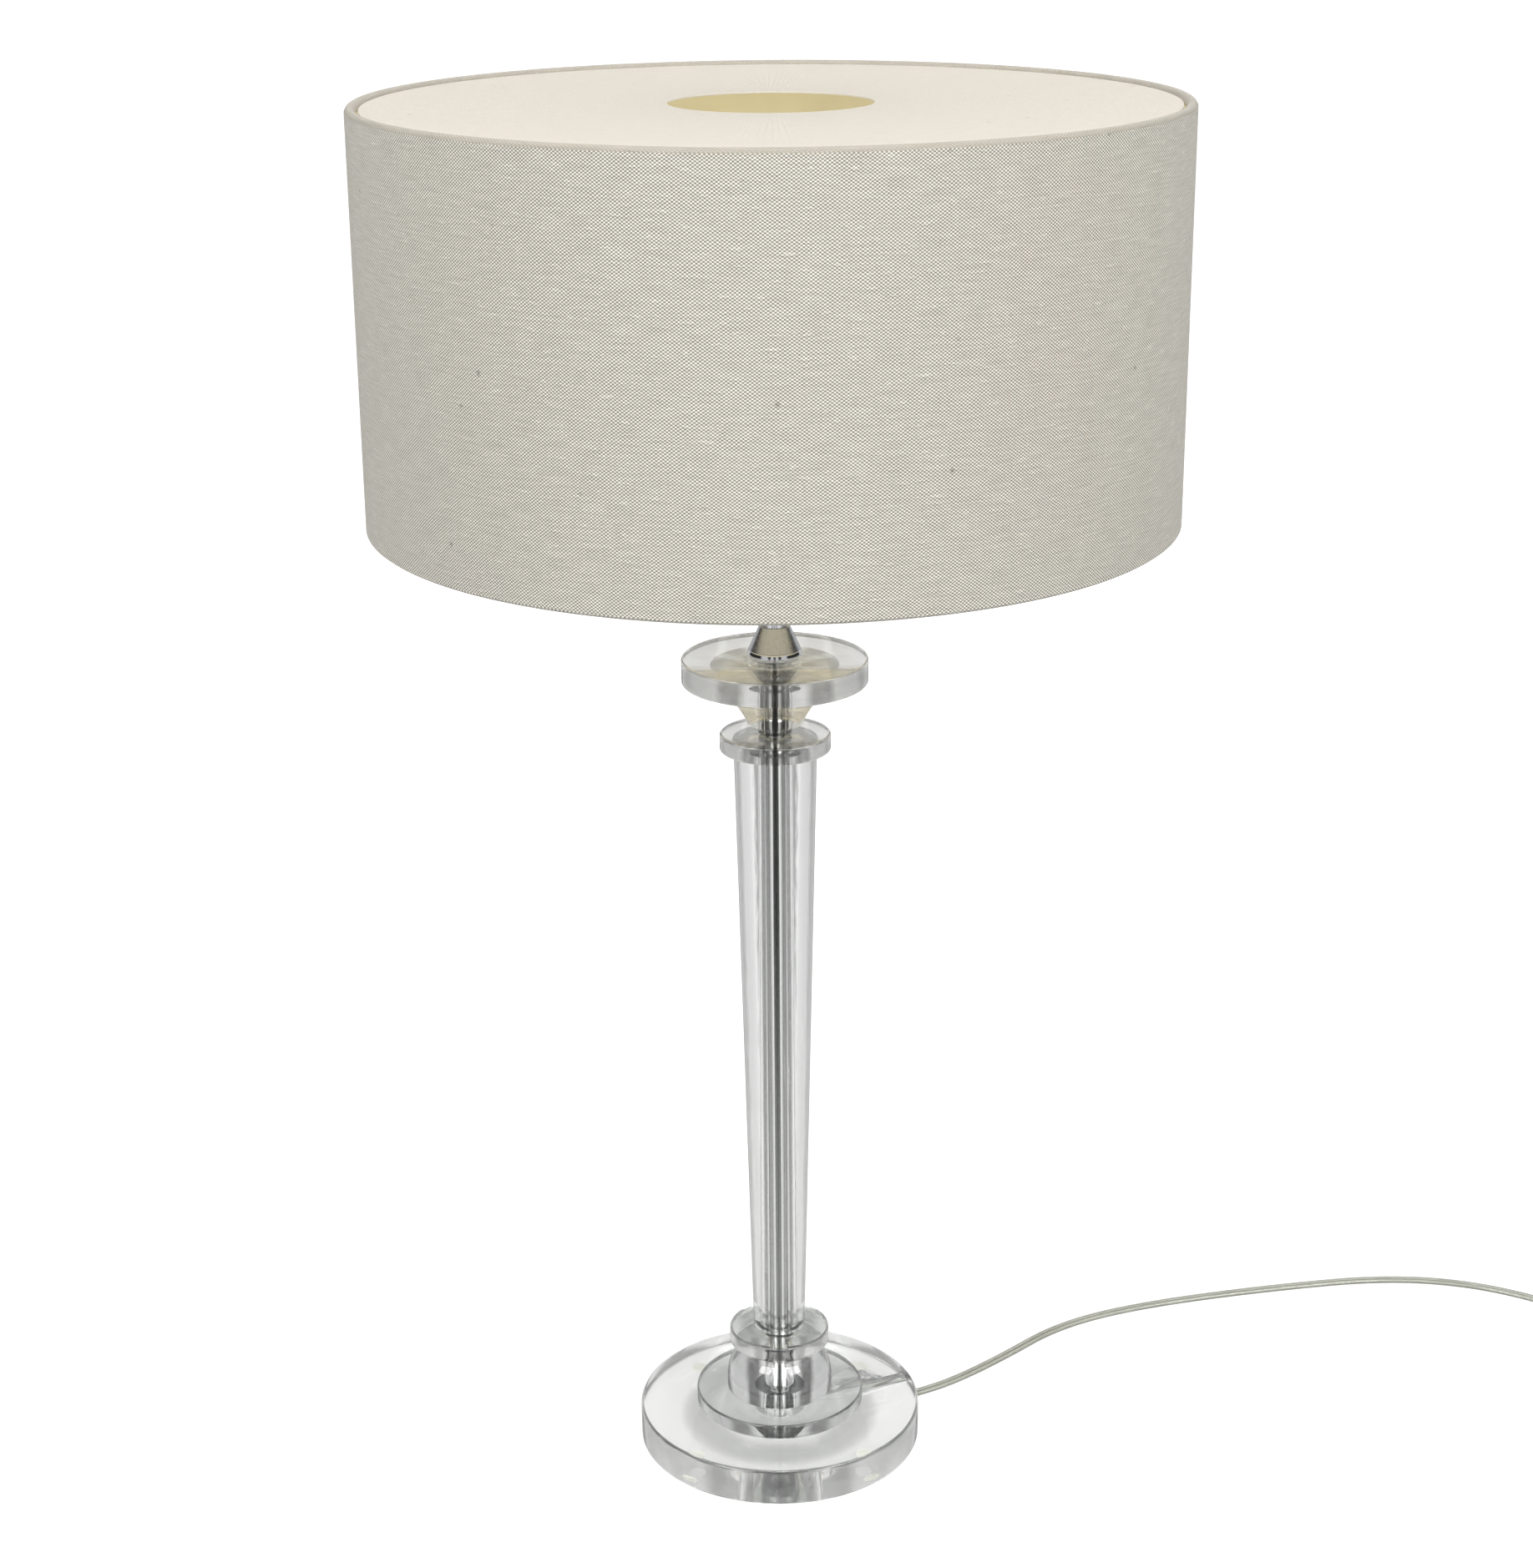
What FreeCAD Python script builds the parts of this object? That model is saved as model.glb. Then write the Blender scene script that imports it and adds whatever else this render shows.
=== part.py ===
import FreeCAD, Part
import math
import os

# A crystal candlestick table lamp: turned glass pieces threaded on a steel stem, an E27
# lampholder on top, and a linen drum shade on a three-armed fitter. Millimetres, +Z up,
# origin on the table under the middle of the base.

V = FreeCAD.Vector
UP = V(0, 0, 1)

# ---------------------------------------------------------------- driving sizes
# The flat two-core cord, which sets the stem's bore and the groove under the base.
cord_width = 5.4
cord_thickness = 2.7
cord_lift = 0.1             # its underside stays this far off the table
cord_bend = 8.0             # radius at which it turns up into the stem
core_radius = 0.95          # one insulated core, where the two part inside the lampholder

# The stem is a standard 10 mm lamp tube.
stem_play = 1.3             # room beside the cord inside the stem
stem_wall = 1.0
glass_play = 0.5            # between the stem and the bores of the glass
nut_wall = 2.0              # from the stem to the flats of a nut
nut_height = 5.0
washer_width = 5.0
washer_thickness = 1.2
thread_play = 0.05          # between the stem and what is screwed on it

# The glass pieces, from the table up.
foot_radius = 4.5
foot_flat = 3.4
foot_height = 1.2
foot_inset = 13.0
base_radius = 76.0
base_thickness = 20.0
base_edge = 1.6
recess_wall = 4.0           # glass left above the pocket for the nut
recess_radius = 13.5
groove_side_play = 1.3
groove_top_play = 1.2
groove_corner = 1.2
plate_radius = 45.2
plate_thickness = 8.0
bell_radius = 28.4
bell_wall_height = 7.0
bell_neck_radius = 15.7
bell_height = 26.5
bell_bulge = 3.2            # how far the shoulder stands out past a straight cone
lower_collar_radius = 26.8
upper_collar_radius = 28.3
collar_thickness = 9.0
column_foot_radius = 13.75
column_top_radius = 21.2
column_length = 329.0
column_draft = 0.7          # how much wider the column's bore is at its foot
neck_height = 4.0
cone_foot_radius = 14.0
cone_top_radius = 32.0
cone_height = 21.5
cone_hollow = 2.2           # how far the cove is cut in from a straight cone
pan_radius = 47.1
pan_thickness = 12.5
glass_edge = 1.1
gasket_thickness = 0.5
gasket_width = 2.9
neck_overhang = 0.3         # the neck past its gasket

# The chrome cup and the sleeve over the stem.
cup_radius = 13.9
cup_rim_height = 4.6
cup_rim_lip = 0.7
cup_height = 16.5
cup_wall = 1.0
sleeve_wall = 1.6
sleeve_play = 0.2
sleeve_length = 24.3

# The lampholder: a cap on the stem, a threaded skirt, and the insert between them.
cap_collar_wall = 3.5
cap_collar_height = 6.0
cap_wall = 2.0
cap_height = 27.0
cap_ledge_height = 17.0
cap_floor = 8.0
insert_play = 0.2
insert_flange = 2.0
insert_top = 38.0
insert_collar_height = 12.0
insert_collar_wall = 2.8
skirt_wall = 2.6
skirt_lip = 0.7             # the skirt's plain part past its thread
seat_flange = 2.0
seat_height = 43.5          # where the shade's fitter sits, above the lampholder's foot
seat_width = 2.7
skirt_height = 66.0
thread_radius = 19.8
shell_wall = 0.4
shell_play = 0.1
shell_length = 21.5
contact_radius = 3.0
contact_thickness = 0.9
terminal_size = 5.0
terminal_height = 4.0
terminal_reach = 6.0
screw_radius = 1.4

# The lamp bulb, with a standard 26.4 mm cap.
bulb_gap = 0.3              # from the bulb's tip to the centre contact
bulb_cap_play = 0.6
bulb_cap_length = 17.5
bulb_tip_radius = 4.5
bulb_tip_height = 1.5
bulb_insulator_height = 3.8
bulb_radius = 30.0
bulb_length = 108.0
bulb_wall = 1.2
housing_top_drop = 13.2     # from the middle of the globe down to the housing
housing_hollow = 1.6
board_margin = 4.0
board_thickness = 1.6
chip_size = 3.0
chip_count = 8

# The shade, its wire frame and its top disc.
shade_radius = 200.0
shade_height = 202.0
bead_radius = 3.25          # the rolled edge, over the wire ring
wire_radius = 2.25
bead_proud = 0.8            # the rolled edge past the wall
fabric_thickness = 0.7
lining_thickness = 0.4
fitter_recess = 12.0
fitter_width = 6.0
fitter_thickness = 2.0
fitter_play = 1.2
seat_gap = 0.2
arm_radius = 1.6
arm_play = 0.15
arm_step_start = 62.0
arm_step_end = 44.0
arm_count = 3
first_arm = 90.0
ring_play = 0.3
ring_wall = 5.2
ring_height = 8.0
ring_flange = 1.4
ring_flange_height = 2.0
ring_grips = 18
disc_drop = 4.0             # the top disc below the rim
disc_thickness = 0.8
disc_play = 0.6
disc_hole_radius = 49.0
disc_trim_width = 2.2       # the binding round the hole
clip_width = 9.0
clip_thickness = 1.0
clip_tongue = 12.0
clip_leg = 9.0
clip_gap = 0.15
clip_count = 3
first_clip = 30.0

# The switch on the cord.
switch_length = 62.0
switch_width = 28.0
switch_split = 6.5          # the parting line, on which the cord enters
switch_height = 16.5
switch_corner = 9.0
switch_wall = 1.8
switch_bevel = 3.4
entry_play = 0.25
rocker_radius = 8.3
rocker_width = 10.0
rocker_play = 0.4
rocker_rise = 3.6           # the middle of the rocker above its pivot
rocker_dish = 1.8
rocker_depth = 3.0
rocker_tilt = 8.0
pivot_radius = 1.3
pivot_play = 0.05
pivot_length = 1.6
pivot_drop = 4.2            # the pivot below the top of the switch
cheek_thickness = 2.4
carrier_length = 30.0
carrier_height = 3.0
switch_screw_radius = 1.5
switch_screw_head = 2.6
switch_screw_inset = 12.0

# The flat two-pin plug.
plug_width = 35.0
plug_thickness = 13.7
plug_body_length = 34.0
plug_waist_width = 13.0
plug_waist_thickness = 9.4
relief_length = 22.0
relief_wall = 0.9
pin_radius = 2.0
pin_length = 19.0
pin_spacing = 19.0
pin_root = 8.0
pin_root_radius = 1.6

plug_lead = 8.0             # the short run out of the coil, before the cord rises

# The coil in which the spare cord is put away.
coil_turns = 6
coil_layers = 2
coil_outer_radius = 38.7
coil_gap = 0.5              # between neighbouring turns and between the layers

# ---------------------------------------------------------------- where the cord lies
# The route's points are chosen by hand from the exit in the base to the switch, from the
# switch to the coil, and from the coil to the plug.
table_z = cord_lift + cord_thickness / 2
lead_route = [
    (69.2, 31.5, table_z),
    (86.0, 39.2, table_z),
    (108.0, 55.0, table_z),
    (134.0, 78.5, table_z),
    (157.0, 101.5, table_z),
    (185.0, 119.0, table_z),
    (222.0, 133.0, table_z),
    (266.0, 144.5, table_z),
    (312.0, 154.0, table_z),
    (356.0, 161.0, table_z),
    (393.0, 159.5, table_z),
    (425.0, 150.5, table_z),
    (453.0, 135.0, table_z),
    (472.0, 117.0, 2.3),
    (485.5, 94.0, 5.0),
    (491.7, 68.0, switch_split),
    (491.7, 42.0, switch_split),
]
tail_route = [
    (491.7, 12.0, switch_split),
    (491.7, -10.0, 6.2),
    (491.7, -26.0, 3.9),
    (491.7, -42.0, 1.7),
    (491.7, -56.0, table_z),
]
coil_centre = (453.0, -78.0)


def vectors(points):
    return [V(*point) for point in points]


# ---------------------------------------------------------------- sizes that follow
exit_radius = math.hypot(lead_route[0][0], lead_route[0][1])
exit_angle = math.degrees(math.atan2(lead_route[0][1], lead_route[0][0]))
bore = cord_width / 2 + stem_play
stem_radius = bore + stem_wall
glass_bore = stem_radius + glass_play
gasket_radius = glass_bore + gasket_width
neck_radius = gasket_radius + neck_overhang
nut_flats = stem_radius + nut_wall          # from the axis to a flat
washer_radius = stem_radius + washer_width

base_z = foot_height
glass_stack = [
    ("base", base_thickness),
    ("plate", plate_thickness),
    ("bell", bell_height),
    ("lower_collar", collar_thickness),
    ("column", column_length),
    ("upper_collar", collar_thickness),
    ("neck", neck_height),
    ("cone", cone_height),
    ("pan", pan_thickness),
]
low = {}
high = {}
gasket_levels = []
level = base_z
for piece, height in glass_stack:
    low[piece] = level
    high[piece] = level + height
    level = high[piece] + gasket_thickness
    gasket_levels.append(high[piece])
gasket_levels.pop()

recess_top = high["base"] - recess_wall
cup_z = high["pan"]
sleeve_z = cup_z + cup_height
holder_z = sleeve_z + sleeve_length
cap_collar_radius = stem_radius + cap_collar_wall
stem_low = recess_top - washer_thickness - nut_height - gasket_thickness
stem_high = holder_z + cap_floor

skirt_radius = thread_radius + skirt_lip
skirt_bore = thread_radius - skirt_wall
cap_bore = skirt_radius - cap_wall
insert_radius = skirt_bore - insert_play
insert_flange_radius = cap_bore - insert_play
shell_radius = insert_radius - insert_collar_wall - shell_play
shell_bore = shell_radius - shell_wall
insert_z = holder_z + insert_top
seat_z = holder_z + seat_height

bulb_z = insert_z + contact_thickness + bulb_gap
bulb_cap_radius = shell_bore - bulb_cap_play
bulb_cap_z = bulb_z + bulb_tip_height + bulb_insulator_height
housing_z = bulb_cap_z + bulb_cap_length
bulb_middle_z = bulb_z + bulb_length - bulb_radius
housing_top_z = bulb_middle_z - housing_top_drop
housing_top_radius = math.sqrt(bulb_radius ** 2 - housing_top_drop ** 2)

fitter_z = seat_z + seat_gap
fitter_bore = thread_radius + fitter_play
fitter_radius = fitter_bore + fitter_width
ring_z = fitter_z + fitter_thickness + seat_gap
ring_bore = thread_radius + ring_play
ring_radius = ring_bore + ring_wall
shade_z = fitter_z - fitter_recess
shade_top = shade_z + shade_height
wall_radius = shade_radius - bead_proud
lining_radius = wall_radius - fabric_thickness
bead_circle = shade_radius - bead_radius
bead_low_z = shade_z + bead_radius
bead_high_z = shade_top - bead_radius
disc_z = shade_top - disc_drop - disc_thickness
disc_radius = bead_circle - bead_radius - disc_play

pivot_z = switch_height - pivot_drop
cord_reach = (switch_length - carrier_length) / 2
lead_top = holder_z + cap_wall


# ---------------------------------------------------------------- shaping helpers
def outline(corners):
    """A closed wire in the XZ plane through (x, z) corners. A corner written as a pair of
    points is the middle and the end of an arc."""
    edges = []
    last = V(corners[0][0], 0, corners[0][1])
    for corner in corners[1:] + corners[:1]:
        if isinstance(corner[0], tuple):
            middle, end = (V(x, 0, z) for x, z in corner)
            edges.append(Part.Arc(last, middle, end).toShape())
        else:
            end = V(corner[0], 0, corner[1])
            edges.append(Part.LineSegment(last, end).toShape())
        last = end
    return Part.Wire(edges)


def turned(*corners):
    """Turns an outline of (radius, height) corners about Z."""
    return Part.Face(outline(list(corners))).revolve(V(0, 0, 0), UP, 360)


def ring(inner, outer, z_low, z_high):
    return turned((inner, z_low), (outer, z_low), (outer, z_high), (inner, z_high))


def torus(circle, radius, z):
    return Part.makeTorus(circle, radius, V(0, 0, z))


def bulged(start, end, bulge):
    """The middle point of an arc from start to end that stands out by bulge, to the right
    of the way from start to end."""
    along_r = end[0] - start[0]
    along_z = end[1] - start[1]
    length = math.hypot(along_r, along_z)
    middle_r = (start[0] + end[0]) / 2 + along_z / length * bulge
    middle_z = (start[1] + end[1]) / 2 - along_r / length * bulge
    return (middle_r, middle_z)


def polished_disc(bore_low, bore_high, radius, z_low, z_high, edge):
    """A glass disc with a bore through it and both rims rounded."""
    corner = edge * (1 - math.sqrt(0.5))
    return turned(
        (bore_low, z_low),
        (radius - edge, z_low),
        ((radius - corner, z_low + corner), (radius, z_low + edge)),
        (radius, z_high - edge),
        ((radius - corner, z_high - corner), (radius - edge, z_high)),
        (bore_high, z_high),
    )


def hexagon(flats, z_low, z_high):
    """A hexagonal prism, given the distance from its axis to a flat."""
    corner = flats / math.cos(math.pi / 6)
    points = [
        V(corner * math.cos(math.radians(60 * i)), corner * math.sin(math.radians(60 * i)), z_low)
        for i in range(7)
    ]
    return Part.Face(Part.makePolygon(points)).extrude(V(0, 0, z_high - z_low))


def around(shape, count, first=0.0):
    """Copies of a shape, evenly spaced about Z."""
    copies = []
    for i in range(count):
        copy = shape.copy()
        copy.rotate(V(0, 0, 0), UP, first + i * 360 / count)
        copies.append(copy)
    return Part.Compound(copies)


def obround(width, thickness, centre, forward, side):
    """The wire of a flat section with round edges. Its width lies along side."""
    side = V(side).normalize()
    across = forward.cross(side).normalize()
    flat = side * ((width - thickness) / 2)
    edge = side * (width / 2)
    half = across * (thickness / 2)
    return Part.Wire([
        Part.LineSegment(centre - flat - half, centre + flat - half).toShape(),
        Part.Arc(centre + flat - half, centre + edge, centre + flat + half).toShape(),
        Part.LineSegment(centre + flat + half, centre - flat + half).toShape(),
        Part.Arc(centre - flat + half, centre - edge, centre - flat - half).toShape(),
    ])


def rounded_route(points):
    """Straight runs joined by tangent arcs, each as large as its two runs allow. Gives the
    wire and the smallest radius in it."""
    edges = []
    radii = []
    here = points[0]
    for before, corner, after in zip(points, points[1:], points[2:]):
        into = corner - before
        out = after - corner
        half_turn = into.getAngle(out) / 2
        reach = 0.45 * min(into.Length, out.Length)
        radius = reach / math.tan(half_turn)
        into.normalize()
        out.normalize()
        start = corner - into * reach
        end = corner + out * reach
        middle = corner + (out - into).normalize() * (radius / math.cos(half_turn) - radius)
        edges.append(Part.LineSegment(here, start).toShape())
        edges.append(Part.Arc(start, middle, end).toShape())
        radii.append(radius)
        here = end
    edges.append(Part.LineSegment(here, points[-1]).toShape())
    return Part.Wire(edges), min(radii)


def swept(section, path):
    return path.makePipeShell([section], True, False)


def flat_cord(path, points, side):
    """The flat cord along a path that starts at the first of the points."""
    section = obround(cord_width, cord_thickness, points[0], points[1] - points[0], side)
    return swept(section, path)


def rod(radius, points):
    """A round rod or core along a route of runs and arcs."""
    path, _ = rounded_route(points)
    forward = points[1] - points[0]
    section = Part.Wire(Part.makeCircle(radius, points[0], forward))
    return swept(section, path)


def placed(shape, start, angle):
    """Moves a shape that was made along +X to a start point and a heading on the table."""
    moved = shape.copy()
    moved.rotate(V(0, 0, 0), UP, angle)
    moved.translate(V(start[0], start[1], 0))
    return moved


# ---------------------------------------------------------------- glass, from the table up
def base_disc():
    """The heavy foot, with a pocket for the nut and a groove that lets the cord out."""
    disc = polished_disc(
        glass_bore, glass_bore, base_radius, low["base"], high["base"], base_edge
    )
    pocket = Part.makeCylinder(recess_radius, recess_top)
    half = cord_width / 2 + groove_side_play
    top = cord_lift + cord_thickness + groove_top_play
    rise = groove_corner * (1 - math.sqrt(0.5))
    profile = outline([
        (-half, 0),
        (half, 0),
        (half, top - groove_corner),
        ((half - rise, top - rise), (half - groove_corner, top)),
        (groove_corner - half, top),
        ((rise - half, top - rise), (-half, top - groove_corner)),
    ])
    groove = Part.Face(profile).extrude(V(0, base_radius + base_edge, 0))
    groove.rotate(V(0, 0, 0), UP, exit_angle - 90)
    return disc.cut(pocket.fuse(groove))


def base_feet():
    """Four clear bumpers stuck under the base."""
    top = low["base"]
    foot = turned(
        (0, 0),
        (foot_flat, 0),
        (bulged((foot_flat, 0), (foot_radius, top), 0.2), (foot_radius, top)),
        (0, top),
    )
    foot.translate(V(base_radius - foot_inset, 0, 0))
    return around(foot, 4, 45)


def bell():
    """The domed piece on the plate: an upright wall under a rounded shoulder."""
    shoulder = (bell_radius, low["bell"] + bell_wall_height)
    neck = (bell_neck_radius, high["bell"])
    return turned(
        (glass_bore, low["bell"]),
        (bell_radius, low["bell"]),
        shoulder,
        (bulged(shoulder, neck, bell_bulge), neck),
        (glass_bore, high["bell"]),
    )


def column():
    return turned(
        (glass_bore + column_draft, low["column"]),
        (column_foot_radius, low["column"]),
        (column_top_radius, high["column"]),
        (glass_bore, high["column"]),
    )


def cone():
    """The cove under the drip pan, hollowed in from a straight cone."""
    foot = (cone_foot_radius, low["cone"])
    top = (cone_top_radius, high["cone"])
    return turned(
        (glass_bore, low["cone"]),
        foot,
        (bulged(foot, top, -cone_hollow), top),
        (glass_bore, high["cone"]),
    )


def gaskets():
    """Thin clear rings that keep glass off glass."""
    return Part.Compound([
        ring(glass_bore, gasket_radius, z, z + gasket_thickness) for z in gasket_levels
    ])


# ---------------------------------------------------------------- stem and metalwork
def stem():
    return ring(bore, stem_radius, stem_low, stem_high)


def nut(z):
    hole = Part.makeCylinder(stem_radius + thread_play, nut_height, V(0, 0, z))
    return hexagon(nut_flats, z, z + nut_height).cut(hole)


def stem_nuts():
    """One nut pulls the stack down from under the base, the other closes it on the pan."""
    under = recess_top - washer_thickness - nut_height
    over = cup_z + washer_thickness
    return Part.Compound([nut(under), nut(over)])


def stem_washers():
    under = recess_top - washer_thickness
    return Part.Compound([
        ring(stem_radius + thread_play, washer_radius, z, z + washer_thickness)
        for z in (under, cup_z)
    ])


def chrome_cup():
    """A spun cup that hides the upper nut: a beaded rim under a cone."""
    rim_top = cup_z + cup_rim_height
    waist = cup_radius - cup_rim_lip
    top_radius = stem_radius + sleeve_play + sleeve_wall + cup_wall
    rim_middle = (cup_radius, cup_z + cup_rim_height / 2)
    return turned(
        (waist - cup_wall, cup_z),
        (waist, cup_z),
        (rim_middle, (waist, rim_top)),
        (top_radius, sleeve_z),
        (stem_radius + thread_play, sleeve_z),
        (stem_radius + thread_play, sleeve_z - cup_wall),
        (top_radius - cup_wall, sleeve_z - cup_wall),
        (waist - cup_wall, rim_top),
    )


def sleeve():
    inner = stem_radius + sleeve_play
    return ring(inner, inner + sleeve_wall, sleeve_z, holder_z)


# ---------------------------------------------------------------- lampholder
def holder_cap():
    """The lower half of the lampholder, screwed on the stem."""
    hole = stem_radius + thread_play
    ledge_z = holder_z + cap_ledge_height
    collar_top = (cap_collar_radius, holder_z + cap_collar_height)
    shoulder = (skirt_radius, ledge_z - cap_wall)
    body = turned(
        (hole, holder_z),
        (cap_collar_radius, holder_z),
        collar_top,
        (bulged(collar_top, shoulder, cap_wall), shoulder),
        (skirt_radius, holder_z + cap_height),
        (cap_bore, holder_z + cap_height),
        (cap_bore, ledge_z),
        (cap_bore - cap_wall, ledge_z),
        (cap_collar_radius, holder_z + cap_floor),
        (hole, holder_z + cap_floor),
    )
    return body.cut(grub_screw_hole())


def grub_screw_hole():
    height = holder_z + cap_collar_height / 2
    return Part.makeCylinder(
        screw_radius, cap_collar_radius, V(stem_radius, 0, height), V(1, 0, 0)
    )


def grub_screw():
    """Stops the lampholder from turning on the stem."""
    height = holder_z + cap_collar_height / 2
    length = cap_collar_radius - stem_radius
    screw = Part.makeCylinder(screw_radius, length, V(stem_radius, 0, height), V(1, 0, 0))
    stem_core = Part.makeCylinder(stem_radius, cap_floor, V(0, 0, holder_z))
    slot = Part.makeBox(
        screw_radius,
        2 * screw_radius,
        screw_radius / 2,
        V(cap_collar_radius - screw_radius / 2, -screw_radius, height - screw_radius / 4),
    )
    return screw.cut(stem_core).cut(slot)


def holder_skirt():
    """The upper half: a spigot in the cap, a flange for the fitter, and a long thread."""
    spigot = cap_bore - insert_play
    cap_top = holder_z + cap_height
    flange_radius = thread_radius + seat_width
    return turned(
        (skirt_bore, holder_z + cap_ledge_height + insert_flange),
        (spigot, holder_z + cap_ledge_height + insert_flange),
        (spigot, cap_top),
        (skirt_radius, cap_top),
        (skirt_radius, seat_z - seat_flange),
        (flange_radius, seat_z - seat_flange),
        (flange_radius, seat_z),
        (thread_radius, seat_z),
        (thread_radius, holder_z + skirt_height),
        (skirt_bore, holder_z + skirt_height),
    )


def holder_insert():
    """The insulating block that carries the contacts."""
    ledge_z = holder_z + cap_ledge_height
    collar_bore = shell_radius + shell_play
    return turned(
        (0, ledge_z),
        (insert_flange_radius, ledge_z),
        (insert_flange_radius, ledge_z + insert_flange),
        (insert_radius, ledge_z + insert_flange),
        (insert_radius, insert_z + insert_collar_height),
        (collar_bore, insert_z + insert_collar_height),
        (collar_bore, insert_z),
        (0, insert_z),
    )


def thread_shell():
    return ring(shell_bore, shell_radius, insert_z, insert_z + shell_length)


def centre_contact():
    return Part.makeCylinder(contact_radius, contact_thickness, V(0, 0, insert_z))


def terminal_side():
    """The way from the axis to the first terminal: across the cord's width."""
    angle = math.radians(exit_angle + 90)
    return V(math.cos(angle), math.sin(angle), 0)


def terminals():
    """Two brass blocks under the insert, into which the cores are screwed."""
    top = holder_z + cap_ledge_height
    corner = V(terminal_reach, 0, top) - V(terminal_size, terminal_size, 2 * terminal_height) * 0.5
    block = Part.makeBox(terminal_size, terminal_size, terminal_height, corner)
    screw = Part.makeCylinder(
        screw_radius,
        terminal_size / 3,
        V(terminal_reach + terminal_size / 2, 0, top - terminal_height / 2),
        V(1, 0, 0),
    )
    return around(block.fuse(screw), 2, exit_angle + 90)


# ---------------------------------------------------------------- bulb
def bulb_globe():
    """The opal cover, open below where it sits on the housing."""
    ball = Part.makeSphere(bulb_radius, V(0, 0, bulb_middle_z))
    hollow = Part.makeSphere(bulb_radius - bulb_wall, V(0, 0, bulb_middle_z))
    side = 2 * bulb_radius
    below = Part.makeBox(side, side, side, V(-bulb_radius, -bulb_radius, housing_top_z - side))
    return ball.cut(hollow).cut(below)


def bulb_housing():
    foot = (bulb_cap_radius, housing_z)
    top = (housing_top_radius, housing_top_z)
    return turned(
        (0, housing_z),
        foot,
        (bulged(foot, top, -housing_hollow), top),
        (0, housing_top_z),
    )


def bulb_cap():
    return Part.makeCylinder(bulb_cap_radius, bulb_cap_length, V(0, 0, bulb_cap_z))


def bulb_insulator():
    return turned(
        (0, bulb_z + bulb_tip_height),
        (bulb_tip_radius, bulb_z + bulb_tip_height),
        (bulb_cap_radius, bulb_cap_z),
        (0, bulb_cap_z),
    )


def bulb_tip():
    return Part.makeCylinder(bulb_tip_radius, bulb_tip_height, V(0, 0, bulb_z))


def led_board():
    """The board on top of the housing with its ring of light chips."""
    radius = housing_top_radius - board_margin
    board = Part.makeCylinder(radius, board_thickness, V(0, 0, housing_top_z))
    chip = Part.makeBox(
        chip_size,
        chip_size,
        board_thickness / 2,
        V(radius * 0.6, -chip_size / 2, housing_top_z + board_thickness),
    )
    return board.fuse(around(chip, chip_count).Solids)


# ---------------------------------------------------------------- shade
def arm_points(play=0.0):
    """An arm's route in the XZ plane: level from the lower wire ring, a step up, and level
    again to the fitter."""
    step_z = fitter_z + fitter_thickness / 2
    return vectors([
        (bead_circle + play, 0, bead_low_z),
        (arm_step_start, 0, bead_low_z),
        (arm_step_end, 0, step_z),
        (fitter_radius - fitter_width / 2, 0, step_z),
    ])


def fitter_arms():
    """Three wires welded to the lower ring and to the fitter."""
    arm = rod(arm_radius, arm_points())
    arm = arm.cut(torus(bead_circle, wire_radius, bead_low_z))
    arm = arm.cut(Part.makeCylinder(fitter_radius, fitter_thickness * 4, V(0, 0, fitter_z - fitter_thickness)))
    inner = max(arm.Solids, key=lambda solid: solid.Volume)
    return around(inner, arm_count, first_arm)


def fitter_ring():
    return ring(fitter_bore, fitter_radius, fitter_z, fitter_z + fitter_thickness)


def arm_passages():
    """What is cut from the hem so that the arms pass through it."""
    length = bead_radius + wire_radius + fabric_thickness
    start = V(bead_circle - length, 0, bead_low_z)
    passage = Part.makeCylinder(arm_radius + arm_play, length, start, V(1, 0, 0))
    return around(passage, arm_count, first_arm)


def shade_fabric():
    """The linen wall with its edges rolled over the two wire rings."""
    wall = ring(lining_radius, wall_radius, bead_low_z, bead_high_z)
    beads = torus(bead_circle, bead_radius, bead_low_z).fuse(
        torus(bead_circle, bead_radius, bead_high_z)
    )
    wires = top_wire().fuse(bottom_wire())
    return wall.fuse(beads).cut(wires).cut(arm_passages())


def shade_lining():
    """The plastic sheet behind the linen, between the rolled edges."""
    sheet = ring(lining_radius - lining_thickness, lining_radius, bead_low_z, bead_high_z)
    beads = torus(bead_circle, bead_radius, bead_low_z).fuse(
        torus(bead_circle, bead_radius, bead_high_z)
    )
    return sheet.cut(beads).cut(arm_passages())


def top_wire():
    return torus(bead_circle, wire_radius, bead_high_z)


def bottom_wire():
    return torus(bead_circle, wire_radius, bead_low_z)


def top_disc():
    """The fabric disc that closes the top, with a round hole for the heat."""
    hole = disc_hole_radius + disc_trim_width
    return ring(hole, disc_radius, disc_z, disc_z + disc_thickness)


def disc_trim():
    """The binding round the hole of the top disc."""
    outer = disc_hole_radius + disc_trim_width
    return ring(disc_hole_radius, outer, disc_z, disc_z + disc_thickness)


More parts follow.
